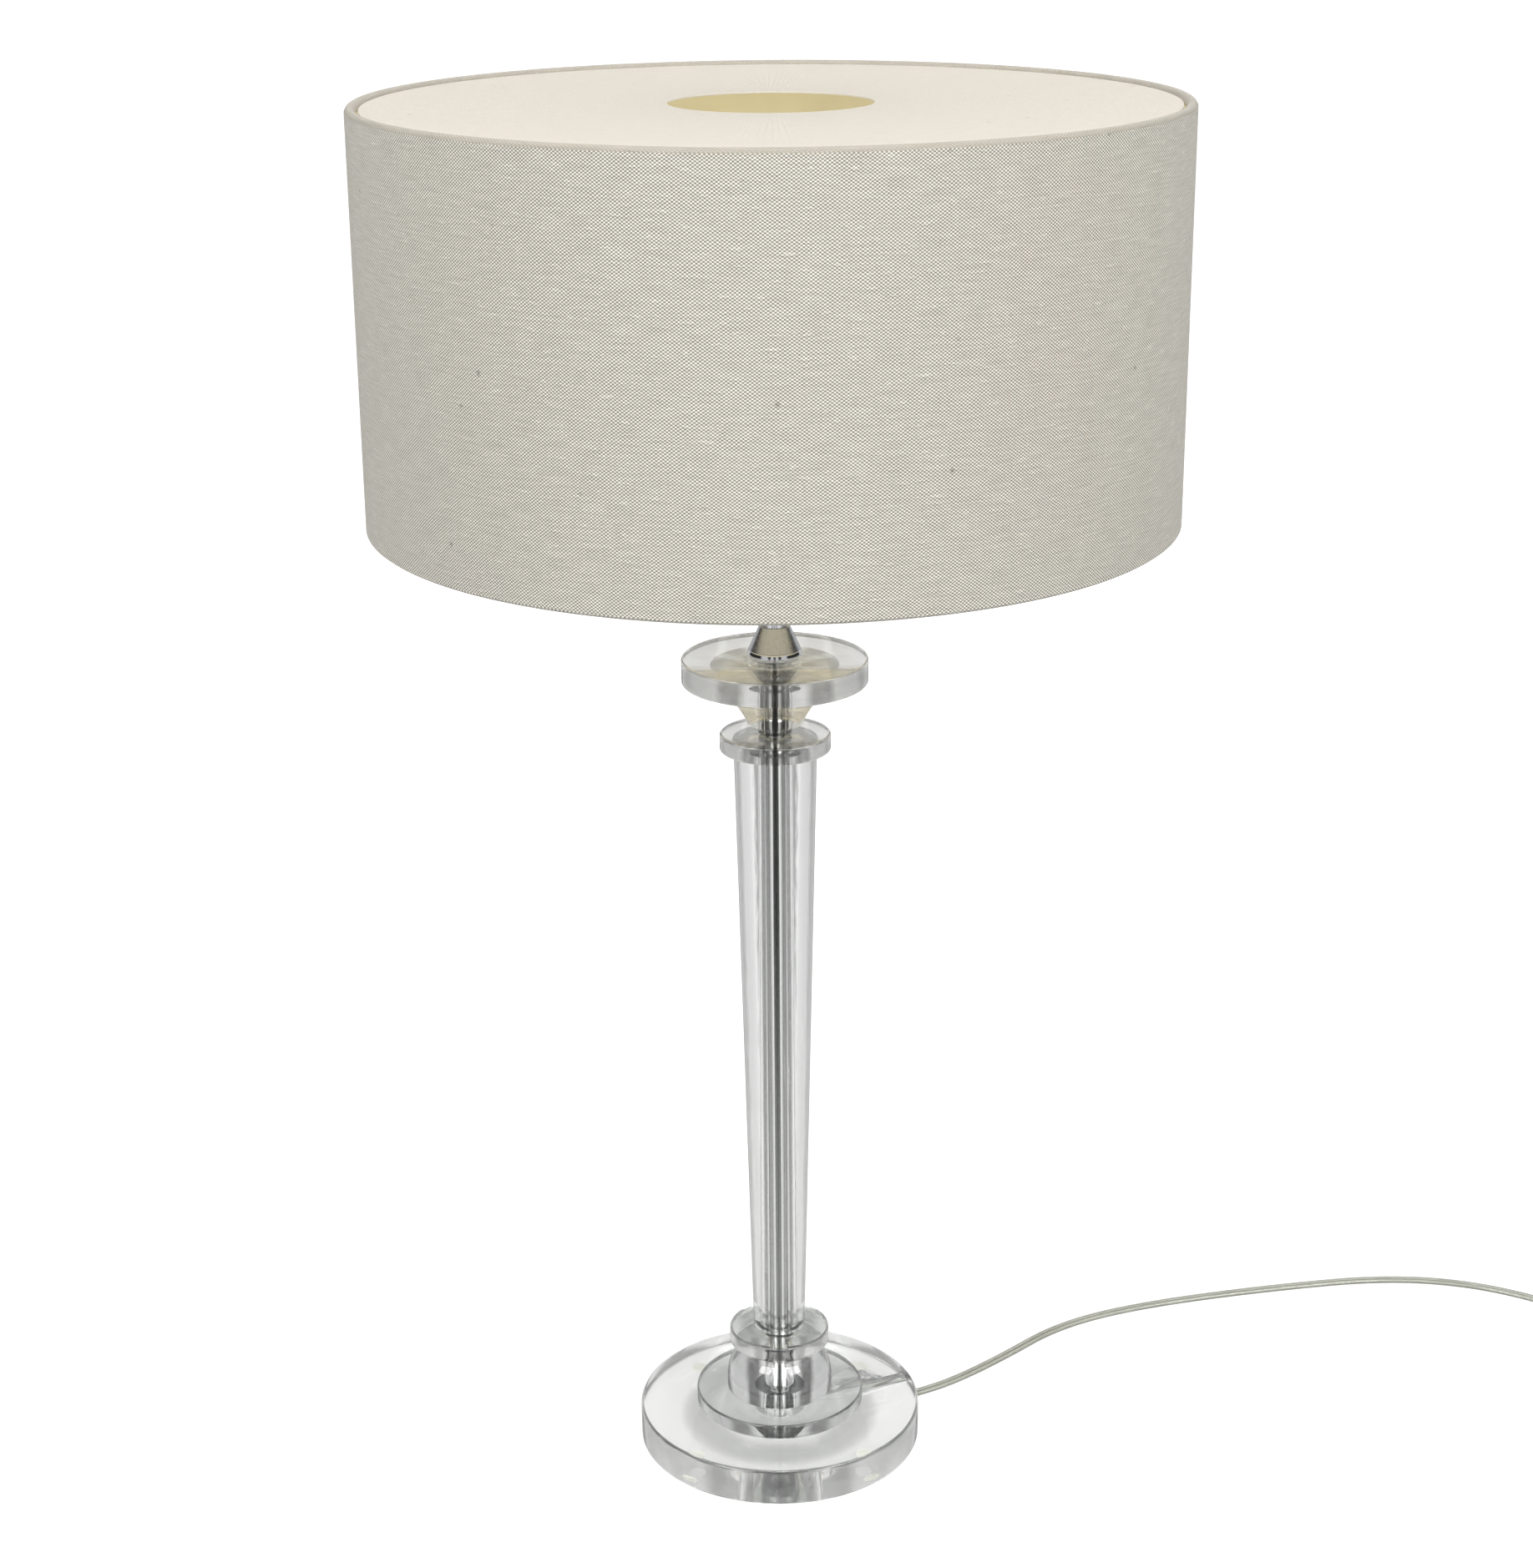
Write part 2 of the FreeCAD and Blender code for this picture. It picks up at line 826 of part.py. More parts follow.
def disc_clips():
    """Bent strips that carry the disc: a tongue under it, a bend round the rolled edge and
    a leg against the lining."""
    tongue_top = disc_z - clip_gap
    tongue_low = tongue_top - clip_thickness
    offset = bead_high_z - tongue_top
    knee = bead_circle - math.sqrt(bead_radius ** 2 - offset ** 2) - 2 * clip_gap
    bend_top = bead_high_z - bead_radius - clip_gap
    bend_low = bend_top - clip_thickness
    leg_face = lining_radius - lining_thickness - clip_gap
    profile = outline([
        (knee - clip_tongue, tongue_low),
        (knee - clip_thickness, tongue_low),
        (knee - clip_thickness, bend_low),
        (leg_face - clip_thickness, bend_low),
        (leg_face - clip_thickness, bend_low - clip_leg),
        (leg_face, bend_low - clip_leg),
        (leg_face, bend_top),
        (knee, bend_top),
        (knee, tongue_top),
        (knee - clip_tongue, tongue_top),
    ])
    strip = Part.Face(profile).extrude(V(0, clip_width, 0))
    strip.translate(V(0, -clip_width / 2, 0))
    return around(strip, clip_count, first_clip)


def shade_ring():
    """The threaded ring that holds the fitter down, with grips round it."""
    body = turned(
        (ring_bore, ring_z),
        (ring_radius + ring_flange, ring_z),
        (ring_radius + ring_flange, ring_z + ring_flange_height),
        (ring_radius, ring_z + ring_flange_height),
        (ring_radius, ring_z + ring_height),
        (ring_bore, ring_z + ring_height),
    )
    grip = Part.makeCylinder(
        ring_flange / 2, ring_height, V(ring_radius, 0, ring_z + ring_flange_height)
    )
    return body.cut(around(grip, ring_grips))


# ---------------------------------------------------------------- cord inside the lamp
def inner_lead_path():
    """From the exit in along the groove, up in the pocket, and up the stem."""
    turn_z = table_z + cord_bend
    slant = cord_bend * (1 - math.sqrt(0.5))
    start = V(exit_radius, 0, table_z)
    bend_start = V(cord_bend, 0, table_z)
    bend_middle = V(slant, 0, table_z + slant)
    bend_end = V(0, 0, turn_z)
    return start, Part.Wire([
        Part.LineSegment(start, bend_start).toShape(),
        Part.Arc(bend_start, bend_middle, bend_end).toShape(),
        Part.LineSegment(bend_end, V(0, 0, lead_top)).toShape(),
    ])


def inner_lead():
    start, path = inner_lead_path()
    section = obround(cord_width, cord_thickness, start, V(-1, 0, 0), V(0, 1, 0))
    lead = swept(section, path)
    lead.rotate(V(0, 0, 0), UP, exit_angle)
    return lead


def lead_cores():
    """The two cores from the end of the cord to the terminals."""
    top = holder_z + cap_ledge_height - terminal_height
    near = cord_width / 2 - cord_thickness / 2
    core = rod(core_radius, vectors([
        (near, 0, lead_top),
        (near, 0, stem_high - core_radius / 2),
        (terminal_reach, 0, top - 1.5 * core_radius),
        (terminal_reach, 0, top),
    ]))
    return around(core, 2, exit_angle + 90)


# ---------------------------------------------------------------- switch on the cord
def switch_outline(z, inset):
    """A rounded rectangle along +X from the switch's entry, drawn inset from its size."""
    half_length = switch_length / 2 - inset
    half_width = switch_width / 2 - inset
    radius = switch_corner - inset
    flat_x = half_length - radius
    flat_y = half_width - radius
    slant = radius * math.sqrt(0.5)
    edges = []
    for along, across, turn in ((1, 1, 0), (-1, 1, 1), (-1, -1, 2), (1, -1, 3)):
        middle = V(along * (flat_x + slant), across * (flat_y + slant), z)
        side = V(along * half_length, across * flat_y, z)
        end = V(along * flat_x, across * half_width, z)
        first, last = (side, end) if turn % 2 == 0 else (end, side)
        edges.append((first, middle, last))
    wire = []
    for (first, middle, last), (following, _, _) in zip(edges, edges[1:] + edges[:1]):
        wire.append(Part.Arc(first, middle, last).toShape())
        wire.append(Part.LineSegment(last, following).toShape())
    outline_wire = Part.Wire(wire)
    outline_wire.translate(V(switch_length / 2, 0, 0))
    return outline_wire


def prism(wire, height):
    return Part.Face(wire).extrude(V(0, 0, height))


def switch_entries():
    """The two flat holes that the cord passes."""
    start = V(-switch_wall, 0, switch_split)
    section = obround(
        cord_width + 2 * entry_play, cord_thickness + 2 * entry_play, start, V(1, 0, 0), V(0, 1, 0)
    )
    return Part.Face(section).extrude(V(switch_length + 2 * switch_wall, 0, 0))


def switch_screw_places():
    return [switch_screw_inset, switch_length - switch_screw_inset]


def switch_screw_side():
    """How far a screw stands beside the cord."""
    return cord_width / 2 + entry_play + switch_screw_radius + switch_wall


def switch_screw_at(x, y):
    shank = Part.makeCylinder(
        switch_screw_radius, switch_split, V(x, y, switch_wall / 2)
    )
    head = Part.makeCylinder(switch_screw_head, switch_wall / 2, V(x, y, switch_wall / 2))
    return shank.fuse(head)


def switch_posts(z_low, z_high):
    """The posts of one shell, round the screws."""
    radius = switch_screw_radius + switch_wall
    return [
        Part.makeCylinder(radius, z_high - z_low, V(x, y, z_low))
        for x, y in switch_screw_spots()
    ]


def switch_screw_spots():
    near, far = switch_screw_places()
    side = switch_screw_side()
    return [(near, side), (far, -side)]


def switch_screws():
    return Part.Compound([switch_screw_at(x, y) for x, y in switch_screw_spots()])


def switch_base():
    """The lower shell, a tray with two screw posts."""
    tray = prism(switch_outline(0, 0), switch_split)
    tray = tray.cut(prism(switch_outline(switch_wall, switch_wall), switch_split))
    tray = tray.fuse(switch_posts(switch_wall / 2, switch_split))
    tray = tray.cut(switch_entries())
    sinks = [
        Part.makeCylinder(switch_screw_head, switch_wall / 2, V(x, y, 0))
        for x, y in switch_screw_spots()
    ]
    return tray.cut(sinks).cut(switch_screws())


def switch_cover():
    """The upper shell: a bevelled lid with a window, two cheeks that hold the rocker, and
    two screw posts."""
    bevel_z = switch_height - switch_bevel
    body = prism(switch_outline(switch_split, 0), bevel_z - switch_split)
    top = Part.makeLoft(
        [switch_outline(bevel_z, 0), switch_outline(switch_height, switch_bevel)], True, True
    )
    trim = Part.makeLoft(
        [
            switch_outline(bevel_z, switch_wall),
            switch_outline(switch_height, switch_bevel + switch_wall),
        ],
        True,
        True,
    )
    roof = Part.makeBox(
        switch_length, switch_width, switch_wall,
        V(0, -switch_width / 2, switch_height - switch_wall),
    )
    lower_hollow = prism(switch_outline(switch_split, switch_wall), bevel_z - switch_split)
    cover = body.fuse(top).cut(lower_hollow).cut(trim.cut(roof))
    window_x = rocker_radius + rocker_play
    window_y = rocker_width / 2 + rocker_play
    cheek_height = switch_height - switch_wall - (pivot_z - 2 * pivot_radius)
    cheeks = [
        Part.makeBox(
            4 * pivot_radius,
            cheek_thickness,
            cheek_height,
            V(
                switch_length / 2 - 2 * pivot_radius,
                side * (window_y + cheek_thickness / 2) - cheek_thickness / 2,
                pivot_z - 2 * pivot_radius,
            ),
        )
        for side in (1, -1)
    ]
    posts = switch_posts(switch_split, switch_height - switch_wall)
    window = Part.makeBox(
        2 * window_x,
        2 * window_y,
        switch_height,
        V(switch_length / 2 - window_x, -window_y, switch_split),
    )
    holes = Part.makeCylinder(
        pivot_radius + pivot_play,
        2 * (window_y + pivot_length + pivot_play),
        V(switch_length / 2, -window_y - pivot_length - pivot_play, pivot_z),
        V(0, 1, 0),
    )
    cover = cover.fuse(cheeks + posts)
    return cover.cut(switch_entries()).cut(window).cut(holes).cut(switch_screws())


def switch_rocker():
    """The rocker, dished on top, on two short pivots. It rests tilted to one side."""
    centre = V(switch_length / 2, 0, pivot_z)
    drum = Part.makeCylinder(
        rocker_radius, rocker_width, centre - V(0, rocker_width / 2, 0), V(0, 1, 0)
    )
    edge_z = rocker_rise + rocker_dish
    reach = rocker_radius + rocker_play
    profile = outline([
        (-reach, -rocker_depth),
        (reach, -rocker_depth),
        (reach, edge_z),
        ((0, rocker_rise), (-reach, edge_z)),
    ])
    block = Part.Face(profile).extrude(V(0, rocker_width, 0))
    block.translate(centre - V(0, rocker_width / 2, 0))
    pin_reach = rocker_width / 2 + rocker_play + pivot_length
    pins = Part.makeCylinder(
        pivot_radius, 2 * pin_reach, centre - V(0, pin_reach, 0), V(0, 1, 0)
    )
    rocker = drum.common(block).fuse(pins)
    rocker.rotate(centre, V(0, 1, 0), rocker_tilt)
    return rocker


def switch_carrier():
    """The contact carrier between the ends of the cord: a block with two brass tabs."""
    start = (switch_length - carrier_length) / 2
    return Part.makeBox(
        carrier_length,
        cord_width * 2,
        carrier_height,
        V(start, -cord_width, switch_wall),
    )


def switch_contacts():
    """Two brass tabs on the carrier, one at the end of each stretch of cord."""
    start = (switch_length - carrier_length) / 2
    tab = carrier_length / 4
    height = switch_split + cord_thickness / 2 - switch_wall - carrier_height
    return Part.Compound([
        Part.makeBox(tab, cord_width, height, V(x, -cord_width / 2, switch_wall + carrier_height))
        for x in (start, start + carrier_length - tab)
    ])


# ---------------------------------------------------------------- plug
def plug_body():
    """The moulded plug from its waist to its face, made along +X."""
    waist = obround(
        plug_waist_width,
        plug_waist_thickness,
        V(0, 0, plug_thickness / 2),
        V(1, 0, 0),
        V(0, 1, 0),
    )
    shoulder = obround(
        plug_width,
        plug_thickness,
        V(plug_body_length * 0.6, 0, plug_thickness / 2),
        V(1, 0, 0),
        V(0, 1, 0),
    )
    face = obround(
        plug_width - 1.6,
        plug_thickness - 1.6,
        V(plug_body_length, 0, plug_thickness / 2),
        V(1, 0, 0),
        V(0, 1, 0),
    )
    body = Part.makeLoft([waist, shoulder], True, True)
    body = body.fuse(Part.makeLoft([shoulder, face], True, True))
    return body.cut(plug_pins().Solids)


def plug_relief():
    """The tapered tail that keeps the cord from kinking at the plug."""
    middle = plug_thickness / 2
    wide = obround(
        plug_waist_width - 2,
        plug_waist_thickness - 2,
        V(0, 0, middle),
        V(-1, 0, 0),
        V(0, 1, 0),
    )
    narrow = obround(
        cord_width + 2 * relief_wall,
        cord_thickness + 2 * relief_wall,
        V(-relief_length, 0, middle),
        V(-1, 0, 0),
        V(0, 1, 0),
    )
    return Part.makeLoft([wide, narrow], True, True)


def plug_pins():
    pins = []
    for side in (1, -1):
        face = V(plug_body_length, side * pin_spacing / 2, plug_thickness / 2)
        straight = pin_length - pin_radius / 2
        root = Part.makeCylinder(pin_root_radius, pin_root, face - V(pin_root, 0, 0), V(1, 0, 0))
        shank = Part.makeCylinder(pin_radius, straight, face, V(1, 0, 0))
        tip = Part.makeCone(
            pin_radius, pin_radius / 2, pin_radius / 2, face + V(straight, 0, 0), V(1, 0, 0)
        )
        pins.append(root.fuse([shank, tip]))
    return Part.Compound(pins)


# ---------------------------------------------------------------- coil of spare cord
coil_pitch = cord_width + coil_gap
coil_step = cord_thickness + coil_gap
half_coil = math.pi * coil_turns
coil_end_run = cord_width


def coil_radius(turned_by):
    """The spiral goes in at a steady rate to the middle of the coil and out again."""
    return coil_outer_radius - coil_pitch * (
        half_coil - abs(turned_by - half_coil)
    ) / (2 * math.pi)


def coil_height(turned_by):
    """The climb to the upper layer takes the half turn where the spiral reverses."""
    share = (turned_by - half_coil) / math.pi + 0.5
    share = min(max(share, 0.0), 1.0)
    return table_z + coil_step * share * share * (3 - 2 * share)


def coil_point(turned_by):
    """The coil turns clockwise from its right-hand side."""
    radius = coil_radius(turned_by)
    return V(
        coil_centre[0] + radius * math.cos(turned_by),
        coil_centre[1] - radius * math.sin(turned_by),
        coil_height(turned_by),
    )


def coil_heading(turned_by):
    step = 1e-4
    if turned_by < step:
        return V(0, -1, 0)
    if turned_by > 2 * half_coil - step:
        return V(0, -1, 0)
    return (coil_point(turned_by + step) - coil_point(turned_by - step)).normalize()


def biarc(start, start_way, end, end_way):
    """Two arcs that join smoothly, from one point and heading to another."""
    chord = end - start
    ways = start_way + end_way
    a = 2 * (1 - start_way.dot(end_way))
    b = 2 * chord.dot(ways)
    c = -chord.dot(chord)
    reach = (-b + math.sqrt(b * b - 4 * a * c)) / (2 * a) if a > 1e-9 else -c / b
    first = start + start_way * reach
    second = end - end_way * reach
    joint = (first + second) * 0.5
    return [
        corner_arc(start, first, joint),
        corner_arc(joint, second, end),
    ]


def corner_arc(start, corner, end):
    """The arc from start to end that is tangent to both legs of the corner."""
    into = corner - start
    out = end - corner
    half_turn = into.getAngle(out) / 2
    if half_turn < 1e-5:
        return Part.LineSegment(start, end).toShape()
    radius = into.Length / math.tan(half_turn)
    inward = (V(out).normalize() - V(into).normalize()).normalize()
    middle = corner + inward * (radius / math.cos(half_turn) - radius)
    return Part.Arc(start, middle, end).toShape()


def coil_path():
    """Straight ends and a biarc for each quarter turn."""
    quarters = 4 * coil_turns
    angles = [2 * half_coil * i / quarters for i in range(quarters + 1)]
    first = coil_point(0)
    last = coil_point(2 * half_coil)
    back = V(0, coil_end_run, 0)
    edges = [Part.LineSegment(first + back, first).toShape()]
    for here, there in zip(angles, angles[1:]):
        edges += biarc(
            coil_point(here), coil_heading(here), coil_point(there), coil_heading(there)
        )
    edges.append(Part.LineSegment(last, last - back).toShape())
    return Part.Wire(edges)


def coil_least_gap():
    """The least gap between two turns, measured between the round edges of the cord at
    points that lie at the same angle of different turns."""
    edge = (cord_width - cord_thickness) / 2
    least = coil_outer_radius
    steps = 72
    for step in range(steps):
        angle = 2 * math.pi * step / steps
        turns = [
            (coil_radius(angle + 2 * math.pi * i), coil_height(angle + 2 * math.pi * i))
            for i in range(coil_turns)
        ]
        for i, (near_r, near_z) in enumerate(turns):
            for far_r, far_z in turns[i + 1:]:
                apart = max(abs(far_r - near_r) - 2 * edge, 0.0)
                least = min(least, math.hypot(apart, far_z - near_z) - cord_thickness)
    return least


def cord_coil():
    path = coil_path()
    start = coil_point(0) + V(0, coil_end_run, 0)
    return flat_cord(path, [start, coil_point(0)], V(1, 0, 0)), path


# ---------------------------------------------------------------- building
def stretch(name, points, side):
    """A free stretch of cord. Prints its least radius and checks its volume."""
    path, least = rounded_route(points)
    solid = flat_cord(path, points, side)
    report_cord(name, solid, path, least)
    return solid


def report_cord(name, solid, path, least):
    section = (cord_width - cord_thickness) * cord_thickness + math.pi * cord_thickness ** 2 / 4
    share = solid.Volume / (section * path.Length)
    print(f"{name}: length {path.Length:.1f}, least radius {least:.1f}, volume share {share:.4f}")


def build():
    parts = {
        "base_feet": base_feet(),
        "base_disc": base_disc(),
        "lower_plate": polished_disc(
            glass_bore, glass_bore, plate_radius, low["plate"], high["plate"], glass_edge
        ),
        "bell": bell(),
        "lower_collar": polished_disc(
            glass_bore,
            glass_bore,
            lower_collar_radius,
            low["lower_collar"],
            high["lower_collar"],
            glass_edge,
        ),
        "column": column(),
        "upper_collar": polished_disc(
            glass_bore,
            glass_bore,
            upper_collar_radius,
            low["upper_collar"],
            high["upper_collar"],
            glass_edge,
        ),
        "neck": ring(glass_bore, neck_radius, low["neck"], high["neck"]),
        "cone": cone(),
        "drip_pan": polished_disc(
            glass_bore, glass_bore, pan_radius, low["pan"], high["pan"], glass_edge
        ),
        "gaskets": gaskets(),
        "stem": stem(),
        "stem_nuts": stem_nuts(),
        "stem_washers": stem_washers(),
        "chrome_cup": chrome_cup(),
        "sleeve": sleeve(),
        "holder_cap": holder_cap(),
        "grub_screw": grub_screw(),
        "holder_skirt": holder_skirt(),
        "holder_insert": holder_insert(),
        "thread_shell": thread_shell(),
        "centre_contact": centre_contact(),
        "terminals": terminals(),
        "inner_lead": inner_lead(),
        "lead_cores": lead_cores(),
        "bulb_globe": bulb_globe(),
        "bulb_housing": bulb_housing(),
        "bulb_cap": bulb_cap(),
        "bulb_insulator": bulb_insulator(),
        "bulb_tip": bulb_tip(),
        "led_board": led_board(),
        "shade_fabric": shade_fabric(),
        "shade_lining": shade_lining(),
        "top_wire": top_wire(),
        "bottom_wire": bottom_wire(),
        "fitter_arms": fitter_arms(),
        "fitter_ring": fitter_ring(),
        "disc_clips": disc_clips(),
        "top_disc": top_disc(),
        "disc_trim": disc_trim(),
        "shade_ring": shade_ring(),
    }
    return parts


def build_cord():
    """The free cord, the switch and the plug, laid out on the table."""
    lead_points = vectors(lead_route)
    lead_side = V(0, 0, 1).cross(lead_points[1] - lead_points[0])
    coil_start = coil_point(0) + V(0, coil_end_run, 0)
    tail_points = vectors(tail_route) + [coil_start]
    switch_start = (lead_points[-1].x, lead_points[-1].y + cord_reach)
    coil, coil_wire = cord_coil()
    report_cord("cord_coil", coil, coil_wire, coil_radius(half_coil))
    print(f"cord_coil: least gap {coil_least_gap():.2f}")
    coil_end = coil_point(2 * half_coil) - V(0, coil_end_run, 0)
    plug_z = plug_thickness / 2
    end_points = [
        coil_end,
        coil_end - V(0, plug_lead, 0),
        V(coil_end.x, coil_end.y - 2.5 * plug_lead, plug_z),
        V(coil_end.x, coil_end.y - 3.5 * plug_lead, plug_z),
    ]
    plug_start = (coil_end.x, end_points[-1].y - relief_length)
    parts = {
        "cord_lead": stretch("cord_lead", lead_points, lead_side),
        "cord_tail": stretch("cord_tail", tail_points, V(1, 0, 0)),
        "cord_coil": coil,
        "cord_end": stretch("cord_end", end_points, V(1, 0, 0)),
    }
    switch = {
        "switch_base": switch_base(),
        "switch_cover": switch_cover(),
        "switch_rocker": switch_rocker(),
        "switch_carrier": switch_carrier(),
        "switch_contacts": switch_contacts(),
        "switch_screws": switch_screws(),
    }
    for name, shape in switch.items():
        parts[name] = placed(shape, switch_start, -90)
    plug = {
        "plug_body": plug_body(),
        "plug_relief": plug_relief(),
        "plug_pins": plug_pins(),
    }
    for name, shape in plug.items():
        parts[name] = placed(shape, plug_start, -90)
    return parts


os.makedirs("parts", exist_ok=True)
for name, shape in {**build(), **build_cord()}.items():
    shape.exportStep(f"parts/{name}.step")
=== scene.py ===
import math
import bmesh
import bpy
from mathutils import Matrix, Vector


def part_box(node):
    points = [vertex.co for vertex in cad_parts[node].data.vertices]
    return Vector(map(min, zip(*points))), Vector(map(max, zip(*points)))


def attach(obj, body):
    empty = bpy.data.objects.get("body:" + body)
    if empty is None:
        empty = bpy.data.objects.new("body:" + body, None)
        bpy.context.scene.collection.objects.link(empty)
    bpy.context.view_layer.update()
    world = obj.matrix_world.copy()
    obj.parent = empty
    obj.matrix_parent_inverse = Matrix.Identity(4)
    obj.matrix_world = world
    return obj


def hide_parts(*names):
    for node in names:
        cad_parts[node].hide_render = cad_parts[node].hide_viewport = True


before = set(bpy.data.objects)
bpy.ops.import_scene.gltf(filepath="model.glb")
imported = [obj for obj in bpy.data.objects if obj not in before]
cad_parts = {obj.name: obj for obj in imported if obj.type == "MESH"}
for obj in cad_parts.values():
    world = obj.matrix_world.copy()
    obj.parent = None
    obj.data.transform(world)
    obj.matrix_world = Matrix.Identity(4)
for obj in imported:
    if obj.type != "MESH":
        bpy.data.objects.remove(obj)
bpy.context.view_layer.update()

# ================================================================ camera
# Placed from the photograph: 1.39 m in front of the stem, 0.86 m above the table, tilted
# down and rolled by half a degree.
camera = bpy.data.objects.new("camera", bpy.data.cameras.new("camera"))
bpy.context.collection.objects.link(camera)
camera.location = (-0.0046, -1.3909, 0.8587)
camera.rotation_mode = "ZXY"
camera.rotation_euler = (math.radians(90 - 19.094), 0, math.radians(-0.46))
camera.data.lens = 66.32
camera.data.sensor_width = 36
bpy.context.scene.camera = camera


# ================================================================ materials
def colour(text):
    """A colour written as six hexadecimal sRGB digits, as linear red, green, blue, alpha."""
    parts = [int(text[i:i + 2], 16) / 255 for i in (0, 2, 4)]
    return [c / 12.92 if c <= 0.04045 else ((c + 0.055) / 1.055) ** 2.4 for c in parts] + [1]


def add(tree, kind, inputs=None, **settings):
    """A new node with its settings, whose inputs are linked or set."""
    node = tree.nodes.new("ShaderNode" + kind)
    for key, value in settings.items():
        setattr(node, key, value)
    for key, value in (inputs or {}).items():
        if isinstance(value, bpy.types.NodeSocket):
            tree.links.new(value, node.inputs[key])
        else:
            node.inputs[key].default_value = value
    return node


def blank(name):
    """A material with an empty tree and an output."""
    material = bpy.data.materials.new(name)
    material.use_nodes = True
    tree = material.node_tree
    tree.nodes.clear()
    return material, tree, add(tree, "OutputMaterial")


def speckle(tree, scale, low, high, detail=3, stretch=(1, 1, 1)):
    """Noise on the object's coordinates, mapped to a range of values."""
    place = add(tree, "TexCoord")
    spread = add(tree, "Mapping", {"Vector": place.outputs["Object"], "Scale": stretch})
    noise = add(tree, "TexNoise", {
        "Vector": spread.outputs["Vector"], "Scale": scale, "Detail": detail,
    })
    ranged = add(tree, "MapRange", {
        "Value": noise.outputs["Fac"], "From Min": 0.3, "From Max": 0.7,
        "To Min": low, "To Max": high,
    })
    return noise.outputs["Fac"], ranged.outputs["Result"]


def moulded(name, tone, gloss, grain=900, lift=0.02, metal=0.0, stretch=(1, 1, 1), **more):
    """Moulded plastic or finished metal: fine grain in its roughness and its surface, and a
    slow drift in its tone."""
    material, tree, output = blank(name)
    fine, rough = speckle(tree, grain, gloss * 0.8, gloss * 1.25, stretch=stretch)
    _, drift = speckle(tree, 25, 0.93, 1.05)
    bump = add(tree, "Bump", {"Height": fine, "Strength": lift * 5, "Distance": 0.0001})
    tone_node = add(tree, "HueSaturation", {"Color": colour(tone), "Value": drift})
    inputs = {
        "Base Color": tone_node.outputs["Color"],
        "Roughness": rough,
        "Metallic": metal,
        "Normal": bump.outputs["Normal"],
    }
    inputs.update(more)
    shader = add(tree, "BsdfPrincipled", inputs)
    tree.links.new(shader.outputs["BSDF"], output.inputs["Surface"])
    return material


def clear(name, tone, ior, gloss, shade=0.9, thin=0.0):
    """Clear glass or plastic that lets light through to the table. Thin is the share that is
    seen straight through, as if it bent no light."""
    material, tree, output = blank(name)
    fine, rough = speckle(tree, 60, gloss * 0.5, gloss * 1.5)
    bump = add(tree, "Bump", {"Height": fine, "Strength": 0.02, "Distance": 0.0002})
    glass = add(tree, "BsdfPrincipled", {
        "Base Color": colour(tone), "Roughness": rough, "IOR": ior,
        "Transmission Weight": 1.0, "Normal": bump.outputs["Normal"],
    })
    through = add(tree, "BsdfTransparent", {"Color": (shade, shade, shade, 1)})
    straight = add(tree, "BsdfTransparent", {"Color": colour(tone)})
    bending = add(tree, "MixShader", {
        0: thin, 1: glass.outputs["BSDF"], 2: straight.outputs["BSDF"],
    })
    path = add(tree, "LightPath")
    mixed = add(tree, "MixShader", {
        0: path.outputs["Is Shadow Ray"], 1: bending.outputs["Shader"],
        2: through.outputs["BSDF"],
    })
    tree.links.new(mixed.outputs["Shader"], output.inputs["Surface"])
    return material


def maths(tree, operation, first, second=0.0, third=0.0):
    return add(
        tree, "Math", {0: first, 1: second, 2: third}, operation=operation
    ).outputs["Value"]


def bands(tree, value, stops):
    """Grey levels that change along a value, given as (place, level) stops."""
    ramp = add(tree, "ValToRGB", {"Fac": value})
    elements = ramp.color_ramp.elements
    for element, (place, level) in zip(elements, (stops[0], stops[-1])):
        element.position = place
        element.color = (level, level, level, 1)
    for place, level in stops[1:-1]:
        elements.new(place).color = (level, level, level, 1)
    return ramp.outputs["Color"]


